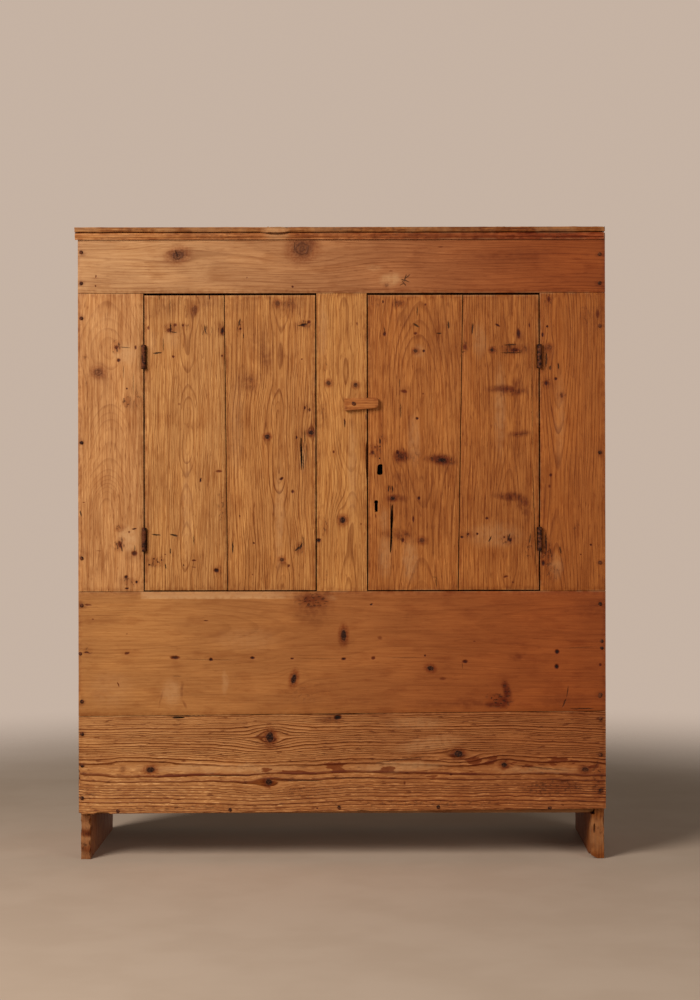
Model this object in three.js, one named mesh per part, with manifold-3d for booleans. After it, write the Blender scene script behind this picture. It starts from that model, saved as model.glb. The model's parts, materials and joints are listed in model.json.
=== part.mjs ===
// A jelly cupboard of nailed pine boards: a plank case standing on its two side boards, a deep bin
// behind the two wide front boards, two shelves behind a pair of ledged doors, and a turn button.
// Millimetres, +Z up, the front faces -Y. The case is drawn about its own middle, with the front
// boards' faces at y = 0 and the floor at z = 0, and the group at the end centres the whole.
import * as THREE from 'three';
import { mergeVertices } from 'three/addons/utils/BufferGeometryUtils.js';
import Module from 'manifold-3d';

const wasm = await Module();
wasm.setup();

// Overall case
const caseWidth = 1320;
const caseDepth = 440;

// Heights, from the floor up
const footHeight = 117;
const lowerBoardHeight = 245;
const upperBoardHeight = 312;
const openingHeight = 746;
const topRailHeight = 134;
const mouldingHeight = 17;
const topThickness = 15;

// Widths across the front
const stileWidth = 164;
const centreStileWidth = 126;

// Board thicknesses
const faceThickness = 22;
const leftSideThickness = 25;
const rightSideThickness = 34;
const shelfThickness = 22;
const backThickness = 16;
const battenThickness = 22;

// Clearances between pieces
const restGap = 0.3;
const seamGap = 0.8;
const boardGap = 1.2;
const doorGap = 2.5;
const doorTopGap = 6.5;
const cutOverrun = 2;

// How the case goes together
const edgeWear = 1.6;
const sideInset = 2;
const dadoDepth = 8;
const rabbetWidth = 12;
const lowerBoardTilt = 12;
const caseFloorDrop = 5;
const lowerShelfRise = 245;
const upperShelfDrop = 219;
const backBoardShares = [0.27, 0.21, 0.3, 0.22];

// Top boards and moulding
const topFrontOverhang = 12;
const topLeftOverhang = 8;
const frontTopBoardShare = 0.55;
const mouldingProjection = 9;
const mouldingLeftOverrun = 6;
const mouldingRightInset = 3;
const filletHeight = 4;
const filletProjection = 5.5;
const quirkDepth = 1.8;

// Worn toe of the right foot
const toeRise = 8;
const toeDepth = 60;

// Doors
const leftDoorSeamTopShare = 0.468;
const leftDoorSeamBottomShare = 0.485;
const rightDoorSeamTopShare = 0.444;
const rightDoorSeamBottomShare = 0.474;
const battenHeight = 90;
const battenEndInset = 34;
const upperBattenDrop = 108;
const lowerBattenRise = 113;

// Holes in the right door, measured from its free edge and the bottom of the opening
const latchHoleWidth = 13;
const latchHoleHeight = 27;
const latchHoleInset = 29.5;
const latchHoleRise = 305;
const keyholeRadius = 5;
const keyholeSlotWidth = 7;
const keyholeHeight = 28;
const keyholeInset = 20.5;
const keyholeRise = 214;
const holeSides = 12;

// Butt hinges
const hingeLength = 58;
const barrelRadius = 5.5;
const hingeAxisForward = 6;
const pinRadius = 2.5;
const pinClearance = 0.4;
const pinHeadHeight = 1.5;
const leafThickness = 1.8;
const leafReach = 18;
const leafGap = 0.3;
const upperHingeDrop = 159;
const lowerHingeRise = 130;
const knuckleCount = 3;
const barrelSides = 16;

// Turn button and its screw
const buttonThickness = 13;
const buttonPivotFromStileEdge = 32.5;
const buttonRise = 469;
const buttonTailReach = 23.5;
const buttonTailTop = 13;
const buttonTailBottom = 18;
const buttonTailRadius = 3;
const buttonNoseReach = 62;
const buttonNoseTop = 16;
const buttonNoseBottom = 11;
const buttonNoseRadius = 9;
const arcSteps = 5;
const screwRadius = 2.2;
const screwHeadRadius = 5;
const screwHeadHeight = 2.5;
const screwBite = 16;
const screwSlotWidth = 1.2;
const screwSlotDepth = 1;

// Cut nails with four-faced heads
const nailHeadHalf = 4.6;
const nailHeadHeight = 2.2;
const nailRimHeight = 0.7;
const nailShankHalf = 2.4;
const nailTipHalf = 0.8;
const nailLength = 58;
const leftNailInset = 9;
const rightNailInset = 14;
const squareSides = 4;

// Finishes
const pine = { color: 0xb47840, roughness: 0.62, metalness: 0 };
const plainPine = { color: 0x9c6f45, roughness: 0.8, metalness: 0 };
const iron = { color: 0x33231b, roughness: 0.75, metalness: 0.6 };

// Levels and edges that follow from the driving dimensions
const halfWidth = caseWidth / 2;
const lowerSeam = footHeight + lowerBoardHeight;
const openingBottom = lowerSeam + upperBoardHeight;
const caseFloorBottom = footHeight - caseFloorDrop;
const openingTop = openingBottom + openingHeight;
const railTop = openingTop + topRailHeight;
const caseTop = railTop + mouldingHeight;
const leftOpeningStart = -halfWidth + stileWidth;
const leftOpeningEnd = -centreStileWidth / 2;
const rightOpeningStart = centreStileWidth / 2;
const rightOpeningEnd = halfWidth - stileWidth;
const sideFront = faceThickness + restGap;
const leftOuter = -halfWidth + sideInset;
const leftInner = leftOuter + leftSideThickness;
const rightOuter = halfWidth - sideInset;
const rightInner = rightOuter - rightSideThickness;
const backFace = caseDepth - backThickness;

const xAxis = new THREE.Vector3(1, 0, 0);
const yAxis = new THREE.Vector3(0, 1, 0);
const zAxis = new THREE.Vector3(0, 0, 1);
const drawnAcross = new THREE.Matrix4().makeBasis(yAxis, zAxis, xAxis);
const drawnUpright = new THREE.Matrix4().makeBasis(xAxis, zAxis, yAxis.clone().negate());

const cupboard = new THREE.Group();

// Adds one piece to the cupboard as a named mesh
function addPiece(name, geometry, finish) {
  const mesh = new THREE.Mesh(geometry, new THREE.MeshStandardMaterial(finish));
  mesh.name = name;
  cupboard.add(mesh);
}

// A closed geometry as a solid that can be cut and joined
function solidFrom(geometry) {
  const bare = geometry.clone();
  bare.deleteAttribute('normal');
  bare.deleteAttribute('uv');
  const merged = mergeVertices(bare);
  return new wasm.Manifold(new wasm.Mesh({
    numProp: 3,
    vertProperties: new Float32Array(merged.attributes.position.array),
    triVerts: new Uint32Array(merged.index.array),
  }));
}

// A cut or joined solid back as a geometry with flat faces
function geometryFrom(solid) {
  const mesh = solid.getMesh();
  const indexed = new THREE.BufferGeometry();
  indexed.setAttribute('position', new THREE.BufferAttribute(new Float32Array(mesh.vertProperties), 3));
  indexed.setIndex(new THREE.BufferAttribute(new Uint32Array(mesh.triVerts), 1));
  const flat = indexed.toNonIndexed();
  flat.computeVertexNormals();
  return flat;
}

// One geometry with each of the others cut out of it
function cutFrom(geometry, cutters) {
  const cut = cutters.reduce((rest, cutter) => rest.subtract(solidFrom(cutter)), solidFrom(geometry));
  return geometryFrom(cut);
}

function block(x0, x1, y0, y1, z0, z1) {
  const geometry = new THREE.BoxGeometry(x1 - x0, y1 - y0, z1 - z0);
  geometry.translate((x0 + x1) / 2, (y0 + y1) / 2, (z0 + z1) / 2);
  return geometry;
}

function shapeThrough(corners) {
  return new THREE.Shape(corners.map(([u, v]) => new THREE.Vector2(u, v)));
}

// A board with eased edges, its outline drawn across the front and its thickness running back
function uprightBoard(shape, yFront, thickness) {
  const geometry = new THREE.ExtrudeGeometry(shape, {
    depth: thickness - 2 * edgeWear,
    bevelThickness: edgeWear,
    bevelSize: edgeWear,
    bevelOffset: -edgeWear,
    bevelSegments: 1,
    curveSegments: arcSteps,
  });
  geometry.applyMatrix4(drawnUpright);
  geometry.translate(0, yFront + thickness - edgeWear, 0);
  return geometry;
}

function faceBoard(x0, x1, z0, z1) {
  return tiltedFaceBoard(x0, x1, z0, z1, 0, 0);
}

// A front board whose lower and upper edges climb by these amounts from its left end to its right
function tiltedFaceBoard(x0, x1, z0, z1, lowerClimb, upperClimb) {
  const corners = [[x0, z0], [x1, z0 + lowerClimb], [x1, z1 + upperClimb], [x0, z1]];
  return uprightBoard(shapeThrough(corners), 0, faceThickness);
}

// A board with eased edges lying flat, its outline drawn from above
function flatBoard(x0, x1, y0, y1, z0, thickness) {
  const outline = shapeThrough([[x0, y0], [x1, y0], [x1, y1], [x0, y1]]);
  const geometry = new THREE.ExtrudeGeometry(outline, {
    depth: thickness - 2 * edgeWear,
    bevelThickness: edgeWear,
    bevelSize: edgeWear,
    bevelOffset: -edgeWear,
    bevelSegments: 1,
  });
  geometry.translate(0, 0, z0 + edgeWear);
  return geometry;
}

// A round rod standing upright
function uprightRod(x, y, z0, z1, radius, sides) {
  const geometry = new THREE.CylinderGeometry(radius, radius, z1 - z0, sides);
  geometry.rotateX(Math.PI / 2);
  geometry.translate(x, y, (z0 + z1) / 2);
  return geometry;
}

// A rod running from front to back
function throughRod(x, y0, y1, z, radius, sides) {
  const geometry = new THREE.CylinderGeometry(radius, radius, y1 - y0, sides);
  geometry.translate(x, (y0 + y1) / 2, z);
  return geometry;
}

// Places of the nails that hold the front boards to the side boards, as shares of each board's height
const nailRows = [
  { board: 'top_rail', bottom: openingTop, top: railTop, left: [0.19, 0.77], right: [0.18, 0.72] },
  { board: 'left_stile', bottom: openingBottom, top: openingTop, left: [0.112, 0.5, 0.917], right: [] },
  { board: 'right_stile', bottom: openingBottom, top: openingTop, left: [], right: [0.095, 0.464, 0.889] },
  { board: 'upper_front_board', bottom: lowerSeam, top: openingBottom, left: [0.12, 0.89],
    right: [0.168, 0.895] },
  { board: 'lower_front_board', bottom: footHeight, top: lowerSeam, left: [0.167, 0.5, 0.82],
    right: [0.188, 0.55, 0.92] },
];

function nailPlaces(row) {
  const lift = row.board === 'lower_front_board' ? lowerBoardTilt : 0;
  const heightAt = (share) => row.bottom + share * (row.top - row.bottom);
  const leftX = -halfWidth + leftNailInset;
  const rightX = halfWidth - rightNailInset;
  const left = row.left.map((share) => ({ side: 'left', x: leftX, z: heightAt(share) }));
  const right = row.right.map((share) => ({ side: 'right', x: rightX, z: heightAt(share) + lift }));
  return [...left, ...right];
}

// The hole that a nail's shank needs in the boards it passes through
function nailHole(place) {
  const half = nailShankHalf + restGap;
  const geometry = block(-half, half, -cutOverrun, nailLength + restGap, -half, half);
  geometry.translate(place.x, 0, place.z);
  return geometry;
}

function holesOf(board) {
  return nailPlaces(nailRows.find((row) => row.board === board)).map(nailHole);
}

function holesOnSide(side) {
  return nailRows.flatMap(nailPlaces).filter((place) => place.side === side).map(nailHole);
}

// A nail: four-faced head standing proud of the board, square shank tapering to its tip
function nailAt(place) {
  const corner = Math.SQRT2;
  const profile = [
    [0, nailLength],
    [nailTipHalf * corner, nailLength],
    [nailShankHalf * corner, -restGap],
    [nailHeadHalf * corner, -restGap],
    [nailHeadHalf * corner, -nailRimHeight],
    [0, -nailHeadHeight],
  ];
  const points = profile.reverse().map(([radius, y]) => new THREE.Vector2(radius, y));
  const geometry = new THREE.LatheGeometry(points, squareSides);
  geometry.rotateY(Math.PI / squareSides);
  geometry.translate(place.x, 0, place.z);
  return geometry;
}

function addNails() {
  for (const row of nailRows) {
    nailPlaces(row).forEach((place, index) => {
      addPiece(`${row.board}_nail_${index + 1}`, nailAt(place), iron);
    });
  }
}

// The shelves and the case floor, housed in the side boards
const housedLevels = [
  { name: 'case_floor', bottom: caseFloorBottom },
  { name: 'lower_shelf', bottom: openingBottom + lowerShelfRise },
  { name: 'upper_shelf', bottom: openingTop - upperShelfDrop - shelfThickness },
];

function addShelves() {
  for (const level of housedLevels) {
    const shelf = block(leftInner - dadoDepth, rightInner + dadoDepth, sideFront, backFace - restGap,
      level.bottom, level.bottom + shelfThickness);
    addPiece(level.name, shelf, plainPine);
  }
}

// Grooves in the side boards for the shelves, and the rebate for the back boards
function housings() {
  const grooves = housedLevels.map((level) => block(
    leftInner - dadoDepth - restGap, rightInner + dadoDepth + restGap, -cutOverrun, backFace + cutOverrun,
    level.bottom - restGap, level.bottom + shelfThickness + restGap));
  const rebate = block(leftInner - rabbetWidth - restGap, rightInner + rabbetWidth + restGap,
    backFace - restGap, caseDepth + cutOverrun, caseFloorBottom - restGap, caseTop + cutOverrun);
  return [...grooves, rebate];
}

// The worn toe: the inner front corner of the right foot stands clear of the floor
function wornToe() {
  const corners = [
    [rightInner - cutOverrun, -cutOverrun],
    [rightOuter - edgeWear, -cutOverrun],
    [rightOuter - edgeWear, 0],
    [rightInner, toeRise],
    [rightInner - cutOverrun, toeRise],
  ];
  const settings = { depth: toeDepth, bevelEnabled: false };
  const geometry = new THREE.ExtrudeGeometry(shapeThrough(corners), settings);
  geometry.applyMatrix4(drawnUpright);
  geometry.translate(0, toeDepth, 0);
  return geometry;
}

function addSides() {
  const left = block(leftOuter, leftInner, sideFront, caseDepth, 0, caseTop - restGap);
  const right = block(rightInner, rightOuter, sideFront, caseDepth, 0, caseTop - restGap);
  addPiece('side_board_left', cutFrom(left, [...housings(), ...holesOnSide('left')]), pine);
  addPiece('side_board_right', cutFrom(right, [...housings(), ...holesOnSide('right'), wornToe()]), pine);
}

// The front boards are nailed over the side boards' edges
function addFrontBoards() {
  const half = seamGap / 2;
  const tilt = lowerBoardTilt;
  const lower = tiltedFaceBoard(-halfWidth, halfWidth, footHeight, lowerSeam - half, tilt, tilt);
  const upper = tiltedFaceBoard(-halfWidth, halfWidth, lowerSeam + half, openingBottom - half, tilt, 0);
  const rail = faceBoard(-halfWidth, halfWidth, openingTop + half, caseTop - restGap);
  addPiece('lower_front_board', cutFrom(lower, holesOf('lower_front_board')), pine);
  addPiece('upper_front_board', cutFrom(upper, holesOf('upper_front_board')), pine);
  addPiece('top_rail', cutFrom(rail, holesOf('top_rail')), pine);
}

// Pockets for the hinge leaves, in the edge of a stile or a door
function mortises(gapCentre, z) {
  const depth = leafGap / 2 + leafThickness + restGap;
  return block(gapCentre - depth, gapCentre + depth, -cutOverrun, leafReach + restGap,
    z - hingeLength / 2 - restGap, z + hingeLength / 2 + restGap);
}

const hingeLevels = [
  { name: 'upper', z: openingTop - upperHingeDrop },
  { name: 'lower', z: openingBottom + lowerHingeRise },
];

const doors = [
  {
    side: 'left',
    hingeEdge: leftOpeningStart,
    freeEdge: leftOpeningEnd,
    toward: 1,
    seamTopShare: leftDoorSeamTopShare,
    seamBottomShare: leftDoorSeamBottomShare,
  },
  {
    side: 'right',
    hingeEdge: rightOpeningEnd,
    freeEdge: rightOpeningStart,
    toward: -1,
    seamTopShare: rightDoorSeamTopShare,
    seamBottomShare: rightDoorSeamBottomShare,
  },
];

function gapCentreOf(door) {
  return door.hingeEdge + door.toward * doorGap / 2;
}

const buttonPivotX = rightOpeningStart - buttonPivotFromStileEdge;
const buttonPivotZ = openingBottom + buttonRise;
const buttonFront = -restGap - buttonThickness;

function addStiles() {
  const bottom = openingBottom + seamGap / 2;
  const top = openingTop - seamGap / 2;
  const outer = [
    { name: 'left_stile', x0: -halfWidth, x1: leftOpeningStart, door: doors[0] },
    { name: 'right_stile', x0: rightOpeningEnd, x1: halfWidth, door: doors[1] },
  ];
  for (const stile of outer) {
    const pockets = hingeLevels.map((level) => mortises(gapCentreOf(stile.door), level.z));
    const board = faceBoard(stile.x0, stile.x1, bottom, top);
    addPiece(stile.name, cutFrom(board, [...pockets, ...holesOf(stile.name)]), pine);
  }
  const screwHole = throughRod(buttonPivotX, -cutOverrun, screwBite + restGap, buttonPivotZ,
    screwRadius + restGap, holeSides);
  const centre = faceBoard(leftOpeningEnd, rightOpeningStart, bottom, top);
  addPiece('centre_stile', cutFrom(centre, [screwHole]), pine);
}

// The latch hole and the keyhole of the right door
function latchHole(door) {
  const x = door.freeEdge + doorGap + latchHoleInset;
  const z = openingBottom + latchHoleRise;
  return block(x - latchHoleWidth / 2, x + latchHoleWidth / 2, -cutOverrun, faceThickness + cutOverrun,
    z - latchHoleHeight / 2, z + latchHoleHeight / 2);
}

function keyhole(door) {
  const x = door.freeEdge + doorGap + keyholeInset;
  const z = openingBottom + keyholeRise;
  const eye = z + keyholeHeight / 2 - keyholeRadius;
  const round = throughRod(x, -cutOverrun, faceThickness + cutOverrun, eye, keyholeRadius, holeSides);
  const slot = block(x - keyholeSlotWidth / 2, x + keyholeSlotWidth / 2, -cutOverrun,
    faceThickness + cutOverrun, z - keyholeHeight / 2, eye);
  return [round, slot];
}

// Each door is two boards side by side, held by two battens across the back
function addDoor(door) {
  const hingeX = door.hingeEdge + door.toward * doorGap;
  const freeX = door.freeEdge - door.toward * doorGap;
  const bottom = openingBottom + doorGap;
  const top = openingTop - doorTopGap;
  const width = freeX - hingeX;
  const seamTop = hingeX + width * door.seamTopShare;
  const seamBottom = hingeX + width * door.seamBottomShare;
  const half = door.toward * boardGap / 2;
  const outerCorners = [
    [hingeX, bottom], [seamBottom - half, bottom], [seamTop - half, top], [hingeX, top],
  ];
  const innerCorners = [
    [seamBottom + half, bottom], [freeX, bottom], [freeX, top], [seamTop + half, top],
  ];
  const outer = uprightBoard(shapeThrough(outerCorners), 0, faceThickness);
  const pockets = hingeLevels.map((level) => mortises(gapCentreOf(door), level.z));
  addPiece(`${door.side}_door_outer_board`, cutFrom(outer, pockets), pine);
  const inner = uprightBoard(shapeThrough(innerCorners), 0, faceThickness);
  const holes = door.side === 'right' ? [latchHole(door), ...keyhole(door)] : [];
  addPiece(`${door.side}_door_inner_board`, cutFrom(inner, holes), pine);
  const battens = [
    { name: 'upper', z: openingTop - upperBattenDrop },
    { name: 'lower', z: openingBottom + lowerBattenRise },
  ];
  for (const batten of battens) {
    const x0 = Math.min(hingeX, freeX) + battenEndInset;
    const x1 = Math.max(hingeX, freeX) - battenEndInset;
    const z0 = batten.z - battenHeight / 2;
    const outline = shapeThrough([[x0, z0], [x1, z0], [x1, z0 + battenHeight], [x0, z0 + battenHeight]]);
    const board = uprightBoard(outline, faceThickness + restGap, battenThickness);
    addPiece(`${door.side}_door_${batten.name}_batten`, board, plainPine);
  }
}

// A hinge: a leaf on the stile with the outer knuckles, one on the door with the middle one, a pin
function addHinge(door, level) {
  const x = gapCentreOf(door);
  const y = -hingeAxisForward;
  const bottom = level.z - hingeLength / 2;
  const top = level.z + hingeLength / 2;
  const knuckle = hingeLength / knuckleCount;
  const boreRadius = pinRadius + pinClearance;
  const spans = Array.from({ length: knuckleCount }, (_, index) => ({
    z0: bottom + index * knuckle,
    z1: bottom + (index + 1) * knuckle,
    onStile: index % 2 === 0,
  }));
  const leaf = (onStile) => {
    const away = onStile ? -door.toward : door.toward;
    const near = x + away * leafGap / 2;
    const far = near + away * leafThickness;
    const rootY = y + boreRadius + leafGap;
    let solid = solidFrom(block(Math.min(near, far), Math.max(near, far), rootY, leafReach, bottom, top));
    for (const span of spans.filter((one) => one.onStile !== onStile)) {
      const room = uprightRod(x, y, span.z0 - leafGap / 2, span.z1 + leafGap / 2,
        barrelRadius + leafGap, barrelSides);
      solid = solid.subtract(solidFrom(room));
    }
    for (const span of spans.filter((one) => one.onStile === onStile)) {
      const z0 = span.z0 === bottom ? span.z0 : span.z0 + leafGap / 2;
      const z1 = span.z1 === top ? span.z1 : span.z1 - leafGap / 2;
      solid = solid.add(solidFrom(uprightRod(x, y, z0, z1, barrelRadius, barrelSides)));
    }
    const bore = uprightRod(x, y, bottom - cutOverrun, top + cutOverrun, boreRadius, barrelSides);
    return geometryFrom(solid.subtract(solidFrom(bore)));
  };
  addPiece(`${door.side}_${level.name}_hinge_stile_leaf`, leaf(true), iron);
  addPiece(`${door.side}_${level.name}_hinge_door_leaf`, leaf(false), iron);
  const profile = [
    [0, bottom - pinHeadHeight - restGap],
    [pinRadius, bottom - pinHeadHeight - restGap],
    [pinRadius, top + restGap],
    [barrelRadius, top + restGap],
    [pinRadius, top + restGap + pinHeadHeight],
    [0, top + restGap + pinHeadHeight],
  ];
  const pin = new THREE.LatheGeometry(profile.map(([r, z]) => new THREE.Vector2(r, z)), barrelSides);
  pin.rotateX(Math.PI / 2);
  pin.translate(x, y, 0);
  addPiece(`${door.side}_${level.name}_hinge_pin`, pin, iron);
}

// The turn button: a whittled bar, deeper at its tail, that turns on a screw in the centre stile
function addTurnButton() {
  const outline = new THREE.Shape();
  const tail = -buttonTailReach;
  const nose = buttonNoseReach;
  outline.moveTo(tail, buttonTailTop);
  outline.lineTo(tail, -buttonTailBottom + buttonTailRadius);
  outline.quadraticCurveTo(tail, -buttonTailBottom, tail + buttonTailRadius, -buttonTailBottom);
  outline.lineTo(nose - buttonNoseRadius, -buttonNoseBottom);
  outline.quadraticCurveTo(nose, -buttonNoseBottom, nose, -buttonNoseBottom + buttonNoseRadius);
  outline.lineTo(nose, buttonNoseTop - buttonNoseRadius);
  outline.quadraticCurveTo(nose, buttonNoseTop, nose - buttonNoseRadius, buttonNoseTop);
  outline.lineTo(tail, buttonTailTop);
  const bar = uprightBoard(outline, buttonFront, buttonThickness);
  bar.translate(buttonPivotX, 0, buttonPivotZ);
  const hole = throughRod(buttonPivotX, buttonFront - cutOverrun, cutOverrun, buttonPivotZ,
    screwRadius + restGap, holeSides);
  addPiece('turn_button', cutFrom(bar, [hole]), pine);
  const headBack = buttonFront - restGap;
  const profile = [
    [0, headBack - screwHeadHeight],
    [screwHeadRadius / 2, headBack - screwHeadHeight],
    [screwHeadRadius, headBack - screwHeadHeight / 2],
    [screwHeadRadius, headBack],
    [screwRadius, headBack],
    [screwRadius, screwBite - screwRadius],
    [0, screwBite],
  ];
  const screw = new THREE.LatheGeometry(profile.map(([r, y]) => new THREE.Vector2(r, y)), holeSides);
  screw.translate(buttonPivotX, 0, buttonPivotZ);
  const slotFloor = headBack - screwHeadHeight + screwSlotDepth;
  const slotReach = screwHeadRadius + cutOverrun;
  const slot = block(buttonPivotX - slotReach, buttonPivotX + slotReach,
    headBack - screwHeadHeight - cutOverrun, slotFloor,
    buttonPivotZ - screwSlotWidth / 2, buttonPivotZ + screwSlotWidth / 2);
  addPiece('turn_button_screw', cutFrom(screw, [slot]), iron);
}

// The boards of the back stand side by side in the side boards' rebates
function addBackBoards() {
  const end = rightInner + rabbetWidth;
  let x0 = leftInner - rabbetWidth;
  const reach = end - x0 + boardGap;
  backBoardShares.forEach((share, index) => {
    const pitch = reach * share;
    const x1 = x0 + pitch - boardGap;
    const board = block(x0, x1, backFace, caseDepth, caseFloorBottom, caseTop - restGap);
    addPiece(`back_board_${index + 1}`, board, plainPine);
    x0 += pitch;
  });
}

// Two boards make the top, the front one overhanging the front boards and the left side
function addTop() {
  const x0 = -halfWidth - topLeftOverhang;
  const seam = -topFrontOverhang + (caseDepth + topFrontOverhang) * frontTopBoardShare;
  const seamFront = seam - boardGap / 2;
  const seamBack = seam + boardGap / 2;
  const front = flatBoard(x0, halfWidth, -topFrontOverhang, seamFront, caseTop, topThickness);
  addPiece('top_board_front', front, pine);
  const back = flatBoard(x0, halfWidth, seamBack, caseDepth, caseTop, topThickness);
  addPiece('top_board_back', back, pine);
}

// The bead moulding under the top board: a full bead over a quirk and a small fillet
function addMoulding() {
  const profile = new THREE.Shape();
  const beadFoot = filletHeight + quirkDepth / 2;
  const beadHead = mouldingHeight - restGap;
  profile.moveTo(-restGap, 0);
  profile.lineTo(-restGap, beadHead);
  profile.lineTo(-filletProjection, beadHead);
  const beadMiddle = (beadFoot + beadHead) / 2;
  const control = -2 * mouldingProjection + filletProjection;
  profile.quadraticCurveTo(control, beadMiddle, -filletProjection + quirkDepth, beadFoot);
  profile.lineTo(-filletProjection, filletHeight);
  profile.lineTo(-filletProjection, 0);
  const geometry = new THREE.ExtrudeGeometry(profile, {
    depth: caseWidth + mouldingLeftOverrun - mouldingRightInset,
    bevelEnabled: false,
    curveSegments: 2 * arcSteps,
  });
  geometry.applyMatrix4(drawnAcross);
  geometry.translate(-halfWidth - mouldingLeftOverrun, 0, railTop);
  addPiece('bead_moulding', geometry, pine);
}

addTop();
addMoulding();
addSides();
addFrontBoards();
addStiles();
addShelves();
addBackBoards();
for (const door of doors) {
  addDoor(door);
  for (const level of hingeLevels) {
    addHinge(door, level);
  }
}
addTurnButton();
addNails();

// The origin is under the middle of the whole cupboard, on the floor
const foremost = buttonFront - restGap - screwHeadHeight;
cupboard.position.set(topLeftOverhang / 2, -(foremost + caseDepth) / 2, 0);

export default cupboard;
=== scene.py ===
"""Looks of a worn pine jelly cupboard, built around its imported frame."""

import json
import math
from contextlib import contextmanager
from functools import reduce

import bmesh
import bpy
import numpy as np
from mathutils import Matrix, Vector

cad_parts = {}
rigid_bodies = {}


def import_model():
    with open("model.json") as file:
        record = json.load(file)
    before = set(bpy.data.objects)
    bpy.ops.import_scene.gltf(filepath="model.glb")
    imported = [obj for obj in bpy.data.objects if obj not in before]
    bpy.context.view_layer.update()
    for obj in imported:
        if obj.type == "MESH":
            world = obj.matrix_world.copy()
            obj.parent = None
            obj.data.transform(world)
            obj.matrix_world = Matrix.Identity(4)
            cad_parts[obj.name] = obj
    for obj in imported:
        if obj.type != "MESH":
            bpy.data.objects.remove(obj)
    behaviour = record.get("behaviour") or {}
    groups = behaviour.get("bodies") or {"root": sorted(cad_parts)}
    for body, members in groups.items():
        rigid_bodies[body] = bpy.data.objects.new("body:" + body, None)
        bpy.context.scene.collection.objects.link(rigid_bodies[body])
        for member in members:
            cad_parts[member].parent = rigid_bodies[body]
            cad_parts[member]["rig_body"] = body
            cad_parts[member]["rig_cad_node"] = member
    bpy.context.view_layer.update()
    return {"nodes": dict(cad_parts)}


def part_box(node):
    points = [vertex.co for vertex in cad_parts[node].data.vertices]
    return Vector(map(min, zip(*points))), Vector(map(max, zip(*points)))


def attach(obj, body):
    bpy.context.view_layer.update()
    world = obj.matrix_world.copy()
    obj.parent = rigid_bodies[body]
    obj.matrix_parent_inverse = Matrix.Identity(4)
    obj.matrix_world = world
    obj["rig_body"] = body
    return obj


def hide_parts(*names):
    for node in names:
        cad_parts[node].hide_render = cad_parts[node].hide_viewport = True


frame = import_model()

bl_info = {
    "name": "Jelly cupboard",
    "version": (1, 0, 0),
    "blender": (4, 5, 0),
    "location": "3D View > Sidebar > Cupboard",
    "description": "Dresses a plank jelly cupboard: worn pine boards, iron hinges and cut nails",
    "category": "Object",
}

MM = 0.001
FAR = 100000.0
X, Y, Z = 0, 1, 2

# The case's own measure: millimetres from its middle, its front face and the floor
LEFT_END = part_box("left_stile")[0]
RIGHT_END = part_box("right_stile")[1]
CASE_MIDDLE = (LEFT_END.x + RIGHT_END.x) / 2
FRONT_FACE = LEFT_END.y

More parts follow.
